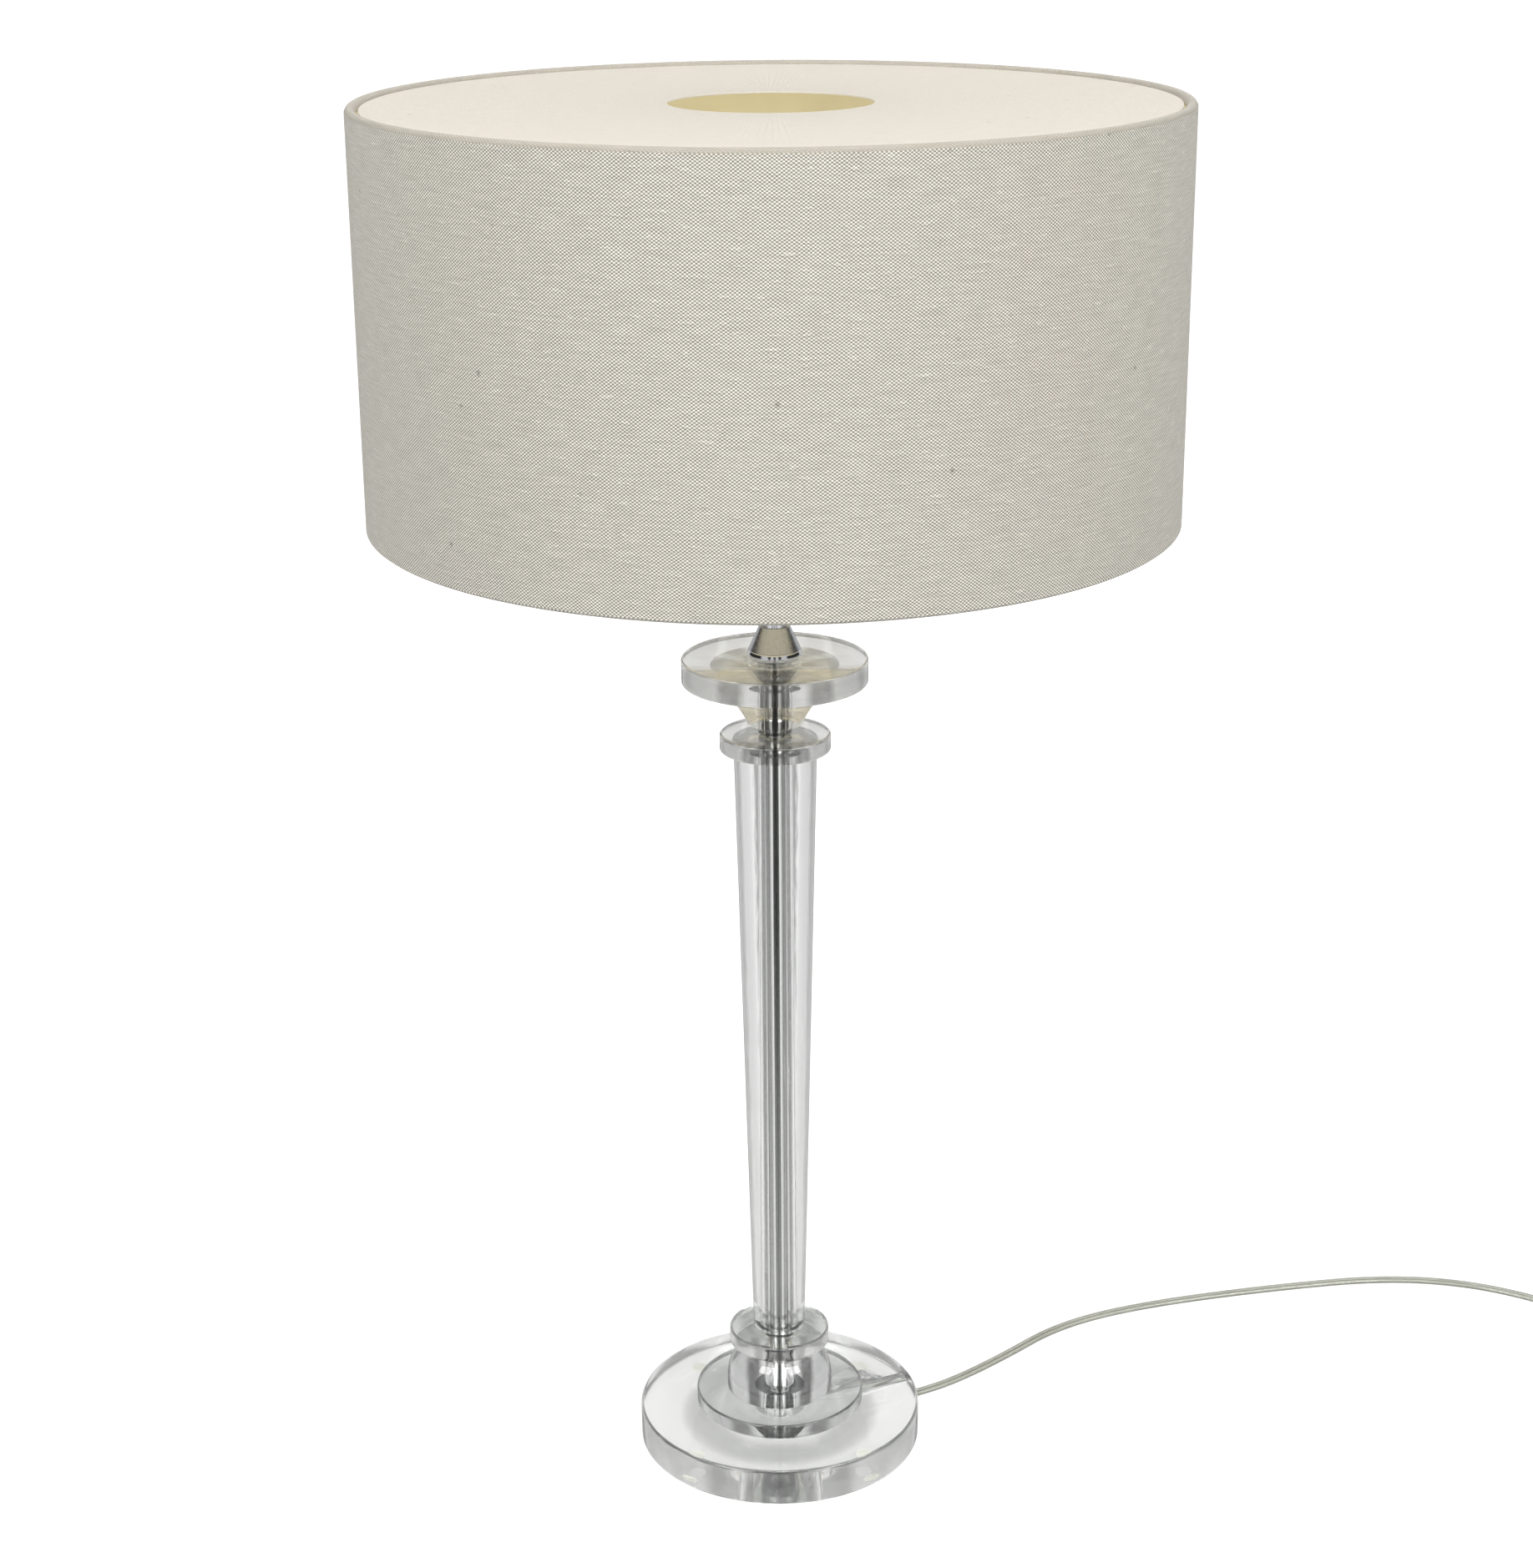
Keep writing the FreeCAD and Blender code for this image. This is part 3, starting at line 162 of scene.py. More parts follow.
def woven(name, light, dark, pitch, pore, slub, glow):
    """Plain weave on UVs in metres: bright crossings where a thread lies on top alternate
    with dark ones, with thick places along the weft, raised nubs and a few dark flecks."""
    material, tree, output = blank(name)
    place = add(tree, "TexCoord")
    wobble = add(tree, "TexNoise", {"Vector": place.outputs["UV"], "Scale": 110.0, "Detail": 2})
    shift = add(tree, "VectorMath", {
        0: wobble.outputs["Color"], 1: (0.5, 0.5, 0.5),
    }, operation="SUBTRACT")
    small = add(tree, "VectorMath", {
        0: shift.outputs["Vector"], "Scale": pitch * 0.9,
    }, operation="SCALE")
    moved = add(tree, "VectorMath", {0: place.outputs["UV"], 1: small.outputs["Vector"]})
    apart = add(tree, "SeparateXYZ", {"Vector": moved.outputs["Vector"]})
    warp = math.pi / (pitch * 1.12)
    weft = math.pi / (pitch * 0.84)
    wave_u = maths(tree, "SINE", maths(tree, "MULTIPLY", apart.outputs["X"], warp))
    wave_v = maths(tree, "SINE", maths(tree, "MULTIPLY", apart.outputs["Y"], weft))
    crossing = maths(tree, "MULTIPLY", wave_u, wave_v)
    cover = maths(tree, "MULTIPLY_ADD", crossing, 0.5, 0.5)
    thick = add(tree, "Mapping", {"Vector": place.outputs["UV"], "Scale": (60, 1000, 1)})
    streak = add(tree, "TexNoise", {"Vector": thick.outputs["Vector"], "Scale": 1.0, "Detail": 4})
    slubs = add(tree, "MapRange", {
        "Value": streak.outputs["Fac"], "From Min": 0.35, "From Max": 0.72,
        "To Min": 1 - slub, "To Max": 1 + slub,
    }).outputs["Result"]
    upright = add(tree, "Mapping", {"Vector": place.outputs["UV"], "Scale": (900, 90, 1)})
    line = add(tree, "TexNoise", {"Vector": upright.outputs["Vector"], "Scale": 1.0, "Detail": 3})
    lines = add(tree, "MapRange", {
        "Value": line.outputs["Fac"], "From Min": 0.35, "From Max": 0.7,
        "To Min": 1 - slub * 0.35, "To Max": 1 + slub * 0.35,
    }).outputs["Result"]
    uneven = add(tree, "Mapping", {"Vector": place.outputs["UV"], "Scale": (140, 460, 1)})
    knot = add(tree, "TexNoise", {"Vector": uneven.outputs["Vector"], "Scale": 1.0, "Detail": 1})
    nub = add(tree, "MapRange", {
        "Value": knot.outputs["Fac"], "From Min": 0.64, "From Max": 0.74,
        "To Min": 0.0, "To Max": 1.0,
    }).outputs["Result"]
    spots = add(tree, "TexVoronoi", {"Vector": place.outputs["UV"], "Scale": 42.0})
    fleck = add(tree, "MapRange", {
        "Value": spots.outputs["Distance"], "From Min": 0.02, "From Max": 0.07,
        "To Min": 0.55, "To Max": 1.0,
    }).outputs["Result"]
    filled = add(tree, "MapRange", {
        "Value": cover, "From Min": 0.1, "From Max": 0.9, "To Min": 1 - pore, "To Max": 1.0,
    }).outputs["Result"]
    covered = maths(tree, "MULTIPLY_ADD", nub, slub, filled)
    tone = maths(tree, "MULTIPLY", maths(tree, "MULTIPLY", covered, slubs), maths(
        tree, "MULTIPLY", lines, fleck
    ))
    raised = maths(tree, "MULTIPLY_ADD", nub, 1.5, cover)
    base = add(tree, "Mix", {
        "Factor": tone, "A": colour(dark), "B": colour(light),
    }, data_type="RGBA", clamp_factor=False)
    bump = add(tree, "Bump", {"Height": raised, "Strength": 0.7, "Distance": pitch * 0.3})
    cloth = add(tree, "BsdfPrincipled", {
        "Base Color": base.outputs[2], "Roughness": 0.9, "Sheen Weight": 0.15,
        "Sheen Roughness": 0.5, "Normal": bump.outputs["Normal"], "Specular IOR Level": 0.2,
    })
    behind = add(tree, "BsdfTranslucent", {"Color": base.outputs[2]})
    mixed = add(tree, "MixShader", {0: glow, 1: cloth.outputs["BSDF"], 2: behind.outputs["BSDF"]})
    tree.links.new(mixed.outputs["Shader"], output.inputs["Surface"])
    return material


crystal = clear("crystal", "F7F8F7", 1.52, 0.004, 0.78, 0.12)
pale_crystal = clear("pale_crystal", "F6F6F4", 1.52, 0.004, 0.78, 0.2)
# Painted glow: the clear rubber feet give off a little light of their own, standing for light that
# reaches them through the glass.
painted_glow = {"Emission Color": colour("F0F0EC"), "Emission Strength": 0.33}
soft_clear = moulded("soft_clear", "D6D6D0", 0.4, 800, 0.02, **painted_glow)
gasket_clear = clear("gasket_clear", "F0F2F2", 1.45, 0.15)
sheath = clear("cord_sheath", "E0E1DB", 1.46, 0.06, 0.8)
satin_chrome = moulded("satin_chrome", "B2B4B9", 0.24, 900, 0.01, 0.9, (1, 1, 0.02))
tube_plate = moulded("tube_plate", "B4B5B8", 0.06, 600, 0.01, 1.0)
# Painted reflections: the streaks down the tube stand for the dark and pale things beside it,
# painted into its base colour by its slope, with a painted paleness towards the table.
tube_tree = tube_plate.node_tree
tube_slope = add(tube_tree, "SeparateXYZ", {
    "Vector": add(tube_tree, "NewGeometry").outputs["Normal"],
})
tube_wobble, _ = speckle(tube_tree, 30, 0, 1, 2, (1, 1, 0.15))
painted_reflection_streaks = bands(tube_tree, maths(
    tube_tree, "MULTIPLY_ADD", tube_wobble, 0.1,
    maths(tube_tree, "ABSOLUTE", tube_slope.outputs["X"]),
), (
    (0.0, 0.01), (0.25, 0.02), (0.32, 0.95), (0.48, 0.6), (0.56, 0.2), (0.66, 0.9), (0.8, 0.45),
    (0.88, 0.04), (0.98, 0.7),
))
tube_height = add(tube_tree, "SeparateXYZ", {
    "Vector": add(tube_tree, "TexCoord").outputs["Object"],
})
painted_pale_foot = add(tube_tree, "MapRange", {
    "Value": tube_height.outputs["Z"], "From Min": 0.1, "From Max": 0.32,
    "To Min": 0.4, "To Max": 0.0,
}).outputs["Result"]
painted_reflection_tone = maths(tube_tree, "MAXIMUM", painted_reflection_streaks, painted_pale_foot)
tube_tree.links.new(painted_reflection_tone, tube_tree.nodes["Principled BSDF"].inputs["Base Color"])
bright_chrome = moulded("bright_chrome", "D2D3D6", 0.07, 500, 0.01, 1.0)
zinc = moulded("zinc", "A8A9A9", 0.22, 800, 0.04, 1.0)
brass = moulded("brass", "C9A86A", 0.3, 700, 0.04, 1.0)
steel = moulded("steel", "9B9C9E", 0.32, 900, 0.04, 1.0)
copper = moulded("tinned_copper", "C6C6BE", 0.4, 2500, 0.2, 0.3)
off_white = moulded("off_white", "E4E1D8", 0.34, 1200, 0.04)
insert_grey = moulded("insert_plastic", "CFCABD", 0.6, 1400, 0.08)
wire_paint = moulded("wire_paint", "DFDCD4", 0.35, 1100, 0.05)
film = moulded("lining_film", "EAE0B8", 0.55, 700, 0.05)
# Painted glow: the lining gives off light, standing for daylight through the cloth, and gives off
# more to mirrored and bent rays than to the camera, a painted reflection where the glass mirrors it.
film_path = add(film.node_tree, "LightPath")
painted_lining_glow = maths(film.node_tree, "MULTIPLY_ADD", film_path.outputs["Is Camera Ray"], -0.32, 0.4)
film_shader = film.node_tree.nodes["Principled BSDF"]
film_shader.inputs["Emission Color"].default_value = colour("F4F1E6")
film.node_tree.links.new(painted_lining_glow, film_shader.inputs["Emission Strength"])
opal = moulded("opal", "F1F1EE", 0.3, 600, 0.02, **{"Subsurface Weight": 0.3})
bulb_white = moulded("bulb_white", "E8E8E4", 0.28, 900, 0.03)
black = moulded("black", "17171A", 0.3, 900, 0.03)
dark = moulded("carrier_dark", "35322F", 0.5, 1100, 0.05)
board = moulded("solder_mask", "E6E6E2", 0.45, 1300, 0.05)
linen = woven("linen", "FAF5E9", "2E2B26", 0.00088, 0.85, 0.1, 0.1)
# Painted shade: the rolled top edge takes a darker, greyer copy of the linen.
shaded_hem_cloth = woven("shaded_hem_cloth", "C1BBAF", "5A5448", 0.00088, 0.4, 0.1, 0.05)
disc_cloth = woven("disc_cloth", "EAE5DB", "8A8378", 0.0007, 0.22, 0.05, 0.3)


# ================================================================ shaping
def keep(piece, body, slot, material, *nodes):
    """Gives a piece its material and its body, and hides the nodes that it stands for. The slot is
    not used.
    """
    piece.data.materials.clear()
    piece.data.materials.append(material)
    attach(piece, body)
    if nodes:
        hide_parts(*nodes)
    return piece


def as_object(name, bm, sharp=32):
    bmesh.ops.recalc_face_normals(bm, faces=bm.faces)
    mesh = bpy.data.meshes.new(name)
    bm.to_mesh(mesh)
    bm.free()
    mesh.shade_smooth()
    mesh.set_sharp_from_angle(angle=math.radians(sharp))
    piece = bpy.data.objects.new(name, mesh)
    bpy.context.collection.objects.link(piece)
    return piece


def bent(start, control, end, steps=10):
    """Points of a curve from start to end that leans towards the control point."""
    points = []
    for i in range(steps + 1):
        t = i / steps
        points.append(tuple(
            (1 - t) ** 2 * a + 2 * t * (1 - t) * b + t * t * c
            for a, b, c in zip(start, control, end)
        ))
    return points


def rounded(corners, reach):
    """An outline whose corners are rounded, given how far each rounding reaches. Corners
    are (radius, height) in millimetres, and those marked with a third value stay sharp."""
    points = []
    count = len(corners)
    for i, corner in enumerate(corners):
        if len(corner) == 3:
            points.append(corner[:2])
            continue
        here = Vector(corner)
        before = Vector(corners[i - 1][:2]) - here
        after = Vector(corners[(i + 1) % count][:2]) - here
        start = here + before.normalized() * min(reach, before.length / 2)
        end = here + after.normalized() * min(reach, after.length / 2)
        points += bent(tuple(start), corner, tuple(end), 5)
    return points


def lathe(name, outline, around=160, closed=True, thread=None, sharp=32):
    """Turns an outline of (radius, height) points in millimetres about Z. A thread is its
    lowest and highest level, pitch and depth. UVs are metres round and along the outline."""
    bm = bmesh.new()
    uv = bm.loops.layers.uv.new("UVMap")
    rings = []
    for radius, height in outline:
        if radius < 1e-6:
            pole = bm.verts.new((0, 0, height / 1000))
            rings.append([pole] * (around + 1))
            continue
        ring = []
        for k in range(around):
            angle = 2 * math.pi * k / around
            out = radius
            if thread and thread[0] <= height <= thread[1]:
                turn = 2 * math.pi * (height - thread[0]) / thread[2] - angle
                out += thread[3] / 2 * (math.cos(turn) - 1)
            ring.append(bm.verts.new((
                out * math.cos(angle) / 1000, out * math.sin(angle) / 1000, height / 1000,
            )))
        rings.append(ring + ring[:1])
    way = [0.0]
    for (r0, z0), (r1, z1) in zip(outline, outline[1:] + outline[:1]):
        way.append(way[-1] + math.hypot(r1 - r0, z1 - z0) / 1000)
    widest = max(radius for radius, _ in outline) / 1000
    last = len(rings) if closed else len(rings) - 1
    for i in range(last):
        low, high = rings[i], rings[(i + 1) % len(rings)]
        for k in range(around):
            corners = [
                (low[k], k, way[i]), (low[k + 1], k + 1, way[i]),
                (high[k + 1], k + 1, way[i + 1]), (high[k], k, way[i + 1]),
            ]
            face_corners = []
            for corner in corners:
                if corner[0] not in [c[0] for c in face_corners]:
                    face_corners.append(corner)
            if len(face_corners) < 3:
                continue
            face = bm.faces.new([c[0] for c in face_corners])
            for loop, corner in zip(face.loops, face_corners):
                loop[uv].uv = (corner[1] / around * 2 * math.pi * widest, corner[2])
    return as_object(name, bm, sharp)


def paint(material, *nodes):
    for name in nodes:
        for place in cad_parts[name].material_slots:
            place.link = "OBJECT"
            place.material = material


# ================================================================ cord
# The flat clear two-core cord, from its exit in the base along the table, through the
# switch, round the coil and into the plug. Sheath and cores follow one smooth line.
route = [
    (0.0692, 0.0315, 0.00145),
    (0.086, 0.0392, 0.00145),
    (0.108, 0.055, 0.00145),
    (0.134, 0.0785, 0.00145),
    (0.157, 0.1015, 0.00145),
    (0.185, 0.119, 0.00145),
    (0.222, 0.133, 0.00145),
    (0.266, 0.1445, 0.00145),
    (0.312, 0.154, 0.00145),
    (0.356, 0.161, 0.00145),
    (0.393, 0.1595, 0.00145),
    (0.425, 0.1505, 0.00145),
    (0.453, 0.135, 0.00145),
    (0.472, 0.117, 0.0023),
    (0.4855, 0.094, 0.005),
    (0.4917, 0.068, 0.0065),
    (0.4917, 0.042, 0.0065),
    (0.4917, 0.012, 0.0065),
    (0.4917, -0.010, 0.0062),
    (0.4917, -0.026, 0.0039),
    (0.4917, -0.042, 0.0017),
    (0.4917, -0.056, 0.00145),
]
coil_turns = 6
per_turn = 16
coil_middle = Vector((0.453, -0.078, 0))
for step in range(coil_turns * per_turn + 1):
    turned_by = 2 * math.pi * step / per_turn
    inward = math.pi * coil_turns - abs(turned_by - math.pi * coil_turns)
    coil_radius = 0.0389 - 0.0059 * inward / (2 * math.pi)
    climb = min(max((turned_by / math.pi - coil_turns) + 0.5, 0), 1)
    route.append((
        coil_middle.x + coil_radius * math.cos(turned_by),
        coil_middle.y - coil_radius * math.sin(turned_by),
        0.00145 + 0.0032 * climb * climb * (3 - 2 * climb),
    ))
route += [
    (0.4917, -0.0914, 0.00465),
    (0.4917, -0.1034, 0.00685),
    (0.4917, -0.1135, 0.00685),
]
line_data = bpy.data.curves.new("cord_line", "CURVE")
line_data.dimensions = "3D"
line_data.resolution_u = 5
spline = line_data.splines.new("NURBS")
spline.points.add(len(route) - 1)
for point, place in zip(spline.points, route):
    point.co = (*place, 1)
spline.order_u = 3
spline.use_endpoint_u = True
line = bpy.data.objects.new("cord_line", line_data)
line_mesh = bpy.data.meshes.new_from_object(line)
centres = [v.co.copy() for v in line_mesh.vertices]
bpy.data.objects.remove(line)


def along(name, section):
    """A tube along the cord's line with a section of (sideways, upwards) points."""
    bm = bmesh.new()
    rings = []
    for i, centre in enumerate(centres):
        ahead = centres[min(i + 1, len(centres) - 1)] - centres[max(i - 1, 0)]
        ahead.normalize()
        side = Vector((0, 0, 1)).cross(ahead).normalized()
        up = ahead.cross(side)
        rings.append([bm.verts.new(centre + side * x + up * y) for x, y in section])
    for near, far in zip(rings, rings[1:]):
        for k in range(len(section)):
            after = (k + 1) % len(section)
            bm.faces.new((near[k], near[after], far[after], far[k]))
    bm.faces.new(rings[0])
    bm.faces.new(rings[-1])
    return as_object(name, bm, 60)


lobe = 0.00135
half_open = math.radians(148)
outline = []
for lobe_side, first in ((1, 0.0), (-1, math.pi)):
    for k in range(11):
        angle = first - half_open + 2 * half_open * k / 10
        outline.append((lobe_side * lobe + lobe * math.cos(angle), lobe * math.sin(angle)))
cord = along("cord_sheath", outline)
for lobe_side, label in ((1, "a"), (-1, "b")):
    ring = [
        (lobe_side * lobe + 0.00082 * math.cos(k * math.pi / 5), 0.00082 * math.sin(k * math.pi / 5))
        for k in range(10)
    ]
    core = along("cord_core_" + label, ring)
    keep(core, "stand", "clear_flex", copper)
keep(cord, "stand", "clear_flex", sheath, "cord_lead", "cord_tail", "cord_coil", "cord_end")
paint(sheath, "inner_lead", "lead_cores")
paint(off_white, "switch_base", "switch_cover", "switch_rocker", "plug_body", "plug_relief")
paint(bright_chrome, "plug_pins")
paint(steel, "switch_screws")
paint(dark, "switch_carrier")
paint(brass, "switch_contacts")

# ================================================================ glass stand
# Nine turned and polished pieces of clear crystal on the stem, each with its bore and its
# softened edges, as in the CAD model.
bore = 5.5
base = lathe("base_glass", rounded([
    (13.5, 1.2, 0), (76.0, 1.2), (76.0, 21.2), (bore, 21.2, 0), (bore, 17.2, 0), (13.5, 17.2, 0),
], 1.8))
groove_bm = bmesh.new()
bmesh.ops.create_cube(groove_bm, size=1)
bmesh.ops.scale(groove_bm, vec=(0.08, 0.008, 0.004), verts=groove_bm.verts)
bmesh.ops.translate(groove_bm, vec=(0.049, 0, 0.002), verts=groove_bm.verts)
top_edges = [
    e for e in groove_bm.edges
    if min(v.co.z for v in e.verts) > 0.003 and abs(e.verts[0].co.x - e.verts[1].co.x) > 0.01
]
bmesh.ops.bevel(
    groove_bm, geom=top_edges, offset=0.0012, segments=4, profile=0.5, affect="EDGES"
)
cutter = as_object("groove_cutter", groove_bm)
cutter.rotation_euler.z = math.atan2(0.0315, 0.0692)
cut = base.modifiers.new("groove", "BOOLEAN")
cut.object = cutter
cut.solver = "EXACT"
bpy.context.view_layer.update()
grooved = bpy.data.meshes.new_from_object(base.evaluated_get(bpy.context.evaluated_depsgraph_get()))
base.modifiers.clear()
base.data = grooved
bpy.data.objects.remove(cutter)
keep(base, "stand", "crystal", crystal, "base_disc")


def disc_outline(radius, low, high, edge=1.2):
    return rounded([(bore, low, 0), (radius, low), (radius, high), (bore, high, 0)], edge)


for name, outline in (
    ("lower_plate", disc_outline(45.2, 21.7, 29.7)),
    ("lower_collar", disc_outline(26.8, 57.2, 66.2, 1.6)),
    ("upper_collar", disc_outline(28.3, 396.2, 405.2, 1.6)),
    ("neck", disc_outline(8.7, 405.7, 409.7, 0.4)),
    ("drip_pan", disc_outline(47.1, 432.2, 444.7)),
    ("bell", [(bore, 30.2), (28.4, 30.2)] + bent((28.4, 37.2), (27.4, 50.4), (15.7, 56.7), 20)
        + [(bore, 56.7)]),
    ("column", [(bore + 0.7, 66.7), (13.45, 66.7), (13.75, 67.0), (21.2, 395.4), (20.9, 395.7),
        (bore, 395.7)]),
    ("cone", [(bore, 410.2)] + bent((14.0, 410.2), (19.9, 423.8), (32.0, 431.7), 16)
        + [(bore, 431.7)]),
):
    pale = name in ("drip_pan", "cone", "neck", "upper_collar")
    glass = pale_crystal if pale else crystal
    keep(lathe(name + "_glass", outline), "stand", "crystal", glass, name)
paint(soft_clear, "base_feet")
paint(gasket_clear, "gaskets")

# ================================================================ stem and chrome
# The plated lamp tube that shows through the glass, with its nuts and washers, the satin
# cup with its polished beaded rim, and the sleeve above it.
frame_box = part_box("stem")
stem_low = frame_box[0][2] * 1000
stem_high = frame_box[1][2] * 1000
keep(lathe("stem_tube", [
    (4.0, stem_low), (5.0, stem_low), (5.0, stem_high), (4.0, stem_high),
], 96), "stand", "plated_steel", tube_plate, "stem")
paint(zinc, "stem_nuts", "stem_washers")
keep(lathe("cup_cone", [
    (13.2, 449.3), (7.8, 461.2), (5.05, 461.2), (5.05, 460.2), (6.8, 460.2), (12.2, 449.3),
], 120), "stand", "satin_chrome", satin_chrome, "chrome_cup")
keep(lathe("cup_rim", rounded([
    (12.2, 444.7, 0), (13.2, 444.7), (13.9, 447.0), (13.2, 449.3), (12.2, 449.3, 0),
], 0.8), 120), "stand", "satin_chrome", bright_chrome)
keep(lathe("sleeve_tube", [(5.2, 461.2), (6.8, 461.2), (6.8, 485.5), (5.2, 485.5)], 96),
    "stand", "satin_chrome", bright_chrome, "sleeve")

# ================================================================ lampholder
# Off-white moulded cap and skirt with a coarse thread for the shade ring, the pale insert
# inside, and the brass shell that takes the bulb.
skirt_steps = [(19.8, 529.0 + 0.25 * i) for i in range(1, 86)]
keep(lathe("holder_skirt_moulding", [
    (17.2, 504.5), (18.3, 504.5), (18.3, 512.5), (20.5, 512.5), (20.5, 527.0), (22.5, 527.0),
    (22.5, 529.0),
] + skirt_steps + [(19.4, 551.5), (17.2, 551.5)], 120, thread=(531.0, 549.0, 3.0, 0.9)),
    "stand", "holder_plastic", off_white, "holder_skirt")
paint(off_white, "holder_cap", "shade_ring")
paint(steel, "grub_screw")
paint(insert_grey, "holder_insert")
paint(brass, "thread_shell", "centre_contact", "terminals")

# ================================================================ bulb
# A frosted lamp with a white housing, on a nickelled screw cap.
globe_arc = []
for i in range(33):
    angle = math.radians(-26.1 + (90 + 26.1) * i / 32)
    globe_arc.append((30 * math.cos(angle), 602.7 + 30 * math.sin(angle)))
inner_arc = [(max(r * 0.96, 0), 602.7 + (z - 602.7) * 0.96) for r, z in reversed(globe_arc)]
globe_arc[-1] = (0, globe_arc[-1][1])
inner_arc[0] = (0, inner_arc[0][1])
keep(lathe("bulb_cover", globe_arc + inner_arc, 96), "bulb", "opal_cover", opal, "bulb_globe")
cap_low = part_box("bulb_cap")[0][2] * 1000
cap_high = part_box("bulb_cap")[1][2] * 1000
cap_steps = [(13.08, cap_low + 0.35 * i) for i in range(50)]
keep(lathe("bulb_screw_cap", [(0, cap_low)] + cap_steps + [(13.08, cap_high), (0, cap_high)],
    96, thread=(cap_low, cap_high - 1.5, 3.6, 1.1)), "bulb", "nickel", bright_chrome, "bulb_cap")
paint(bulb_white, "bulb_housing")
paint(bright_chrome, "bulb_tip")
paint(black, "bulb_insulator")
paint(board, "led_board")

# ================================================================ shade
# Linen stretched over a clear lining between two wire rings. Its edges are rolled over the
# rings, and a paler disc of the same cloth closes the top round a hole.
wall = lathe("shade_linen", [
    (198.8, 518.9), (199.5, 518.9), (199.5, 716.9), (198.8, 716.9),
], 256)
keep(wall, "shade", "linen", linen, "shade_fabric")


def rolled_edge(name, level, cloth):
    ring = []
    for k in range(20):
        angle = 2 * math.pi * k / 20
        ring.append((196.75 + 2.65 * math.cos(angle), level + 2.85 * math.sin(angle)))
    return keep(lathe(name, ring, 256), "shade", "linen", cloth)


hems = [rolled_edge("hem_low", 520.25, linen), rolled_edge("hem_high", 716.35, shaded_hem_cloth)]
disc = lathe("top_disc_cloth", [
    (50.4, 716.4), (192.9, 716.4), (192.9, 717.2), (50.4, 717.2),
], 256)
keep(disc, "top_disc", "disc_fabric", disc_cloth, "top_disc")
trim = keep(lathe("disc_binding", rounded([
    (49.0, 716.3), (50.5, 716.3), (50.5, 717.3), (49.0, 717.3),
], 0.4), 160), "top_disc", "disc_fabric", disc_cloth, "disc_trim")
paint(film, "shade_lining")
paint(wire_paint, "top_wire", "bottom_wire", "fitter_arms", "fitter_ring", "disc_clips")

# ================================================================ light and floor
# A white table under soft studio light. What the glass and the chrome mirror isn't all white: the
# table shows them painted reflections, pale and dark bands by how far to the side a ray goes, and
# the room round it has pale and dark bands as well.
floor_bm = bmesh.new()
bmesh.ops.create_grid(floor_bm, x_segments=1, y_segments=1, size=9)
floor = as_object("floor", floor_bm)
floor_material, tree, output = blank("floor")
place = add(tree, "TexCoord")
apart = add(tree, "SeparateXYZ", {"Vector": place.outputs["Object"]})
away = add(tree, "VectorMath", {0: place.outputs["Object"]}, operation="LENGTH")
sight = add(tree, "NewGeometry")
heading = add(tree, "SeparateXYZ", {"Vector": sight.outputs["Incoming"]})
cloud = add(tree, "TexNoise", {"Vector": place.outputs["Object"], "Scale": 16.0, "Detail": 2})
turned = maths(tree, "ABSOLUTE", heading.outputs["X"])
uneven = maths(tree, "MULTIPLY_ADD", cloud.outputs["Fac"], 0.12, turned)
# Painted reflections: the bands that mirrored and bent rays see on the table, read off the way each
# ray comes in.
behind = bands(tree, uneven, (
    (0.0, 0.76), (0.2, 0.72), (0.27, 0.06), (0.4, 0.08), (0.48, 0.75), (0.74, 0.6), (0.88, 0.03),
))
ahead = bands(tree, uneven, (
    (0.0, 0.02), (0.1, 0.03), (0.16, 0.6), (0.25, 0.6), (0.31, 0.08), (0.42, 0.1), (0.5, 0.8),
    (0.85, 0.6), (0.95, 0.04),
))
from_front = maths(tree, "GREATER_THAN", heading.outputs["Y"], 0.0)
from_back = maths(tree, "SUBTRACT", 1.0, from_front)
painted_reflection_bands = maths(
    tree, "MULTIPLY_ADD", ahead, from_front, maths(tree, "MULTIPLY", behind, from_back)
)
# As the camera sees it, the table's own glow is dimmer near the lamp and brighter far off.
level = add(tree, "MapRange", {
    "Value": away.outputs["Value"], "From Min": 0.2, "From Max": 1.2,
    "To Min": 0.9, "To Max": 1.05,
})
matt = add(tree, "BsdfDiffuse", {"Color": (0.2, 0.2, 0.2, 1)})
white = add(tree, "Emission", {"Color": colour("FFFFFF"), "Strength": level.outputs["Result"]})
shown = add(tree, "AddShader", {0: matt.outputs["BSDF"], 1: white.outputs["Emission"]})
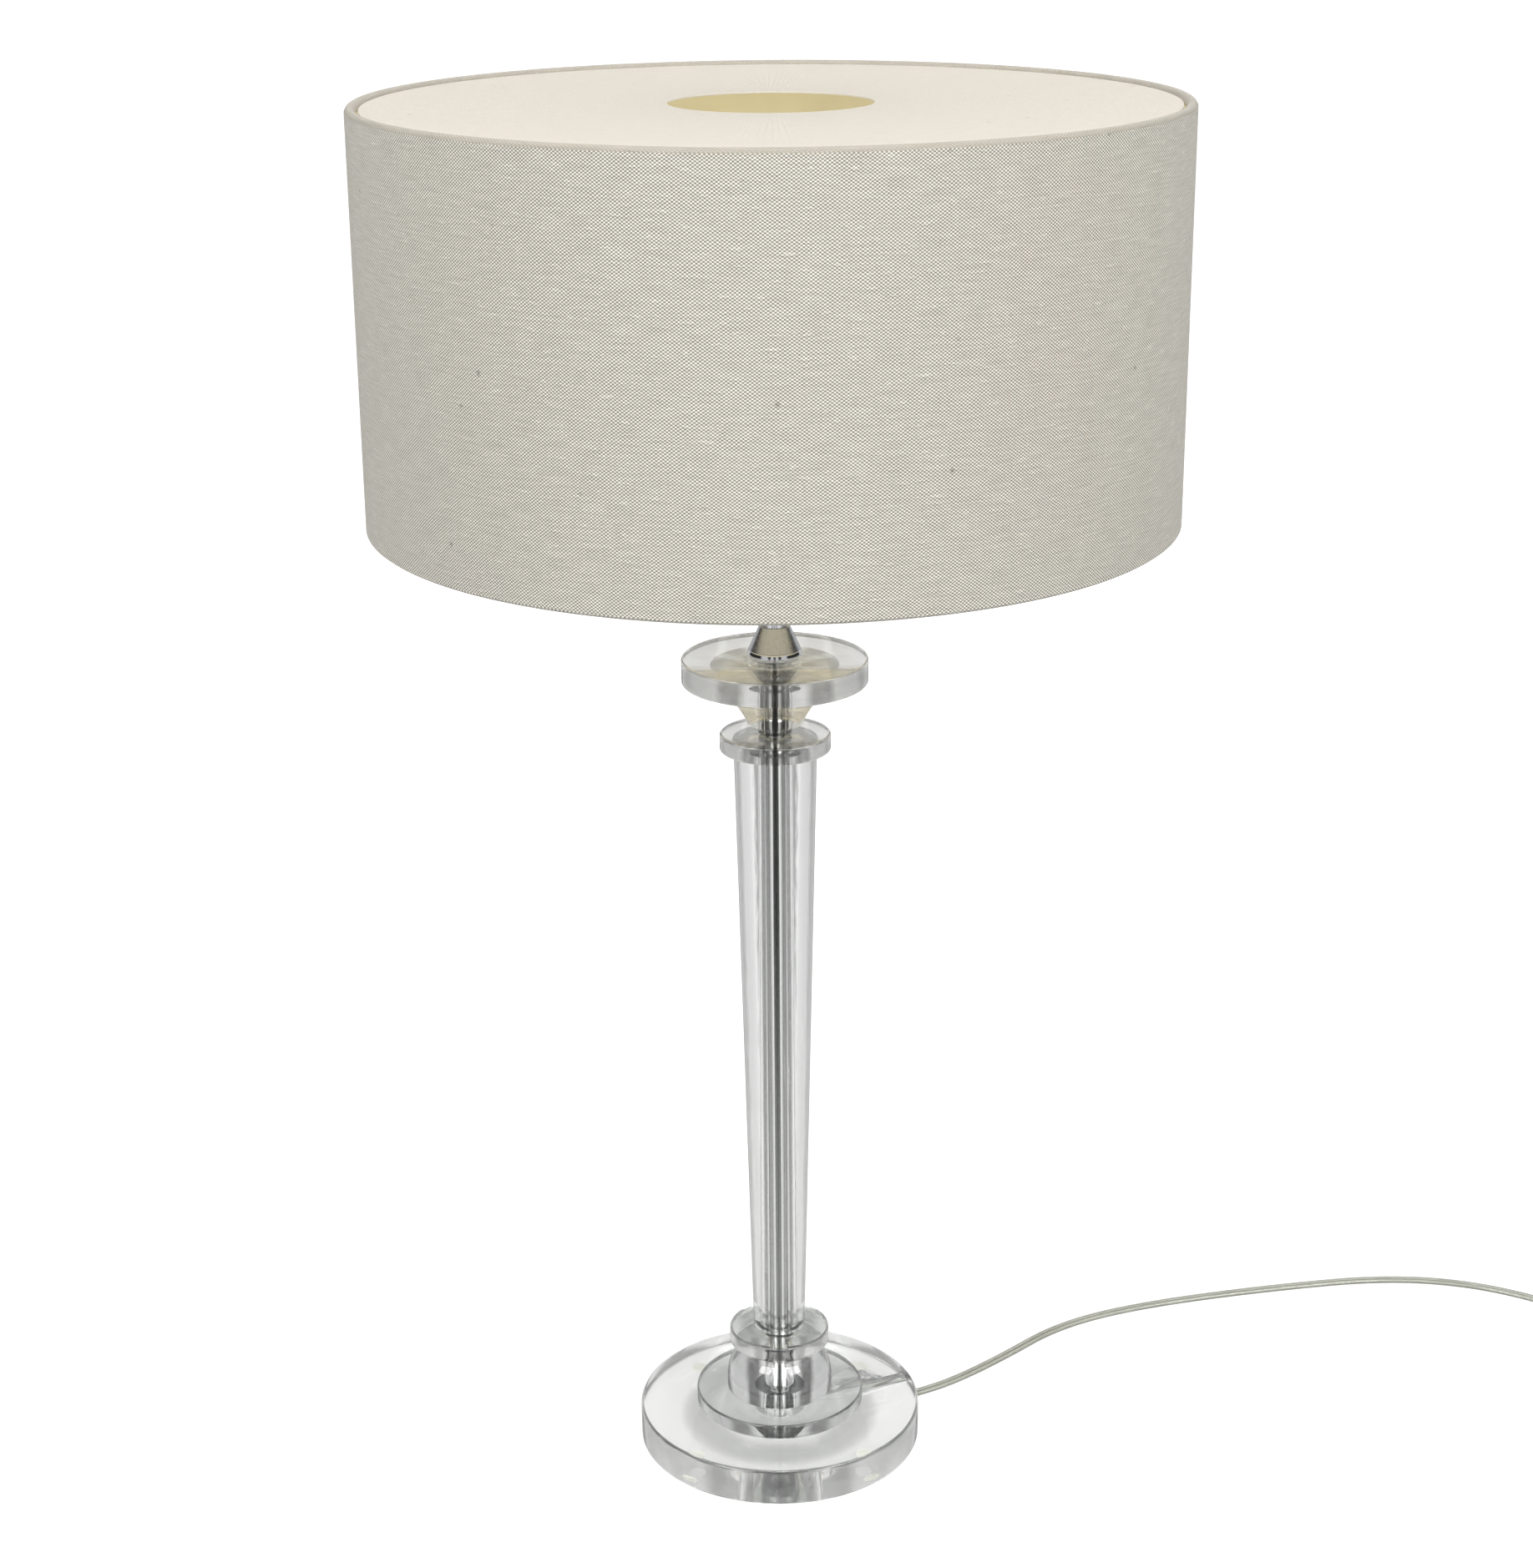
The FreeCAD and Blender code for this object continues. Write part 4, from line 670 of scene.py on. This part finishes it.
# Painted shadow: under and round the base, grey rings stand for the shade that the glass casts on
# the table, seen only through the glass.
rings = bands(tree, away.outputs["Value"], (
    (0.0, 0.95), (0.033, 0.9), (0.036, 0.5), (0.05, 0.55), (0.0525, 1.0), (0.074, 1.0),
    (0.0775, 0.75), (0.095, 0.95), (0.12, 1.0),
))
painted_shadow_and_reflection = maths(tree, "MULTIPLY", painted_reflection_bands, rings)
painted_reflection_glow = add(tree, "Emission", {"Color": colour("FFFFFF"), "Strength": painted_shadow_and_reflection})
paper_matt = add(tree, "BsdfDiffuse", {"Color": (0.25, 0.25, 0.25, 1)})
mirrored = add(tree, "AddShader", {
    0: painted_reflection_glow.outputs["Emission"], 1: paper_matt.outputs["BSDF"],
})
path = add(tree, "LightPath")
both = add(tree, "MixShader", {
    0: path.outputs["Is Camera Ray"], 1: mirrored.outputs["Shader"], 2: shown.outputs["Shader"],
})
tree.links.new(both.outputs["Shader"], output.inputs["Surface"])
floor.data.materials.append(floor_material)


def softbox(name, place, target, size, power):
    data = bpy.data.lights.new(name, "AREA")
    data.size = size
    data.energy = power
    light = bpy.data.objects.new(name, data)
    bpy.context.collection.objects.link(light)
    light.location = place
    light.rotation_euler = (Vector(target) - Vector(place)).to_track_quat("-Z", "Y").to_euler()
    return light


softbox("key", (-1.3, -1.5, 2.0), (0, 0, 0.5), 1.2, 34)
softbox("fill", (1.3, -1.5, 1.9), (0, 0, 0.5), 1.2, 34)
softbox("above", (0.0, 0.3, 2.2), (0, 0, 0.6), 1.0, 5)
back = softbox("back", (0.5, 2.0, 1.7), (0, 0, 0.5), 1.4, 16)
back.visible_glossy = False
back.visible_transmission = False

world = bpy.data.worlds.new("studio")
bpy.context.scene.world = world
world.use_nodes = True
tree = world.node_tree
tree.nodes.clear()
way = add(tree, "TexCoord")
patches = add(tree, "TexNoise", {"Vector": way.outputs["Generated"], "Scale": 1.6, "Detail": 3})
facing = add(tree, "SeparateXYZ", {"Vector": way.outputs["Generated"]})
sideways = maths(tree, "ABSOLUTE", facing.outputs["X"])
mottled = maths(tree, "ADD", sideways, maths(tree, "MULTIPLY", patches.outputs["Fac"], 0.16))
tone = bands(tree, mottled, (
    (0.0, 0.1), (0.13, 0.12), (0.2, 0.95), (0.3, 0.95), (0.38, 0.08), (0.5, 0.1), (0.58, 0.9),
    (0.84, 0.85), (0.93, 0.04),
))
room = add(tree, "Background", {"Color": tone, "Strength": 0.9})
white = add(tree, "Background", {"Color": colour("FFFFFF"), "Strength": 1.1})
path = add(tree, "LightPath")
seen = add(tree, "MixShader", {
    0: path.outputs["Is Camera Ray"], 1: room.outputs["Background"], 2: white.outputs["Background"],
})
world_output = add(tree, "OutputWorld", {"Surface": seen.outputs["Shader"]})
bpy.context.scene.view_settings.view_transform = "Standard"
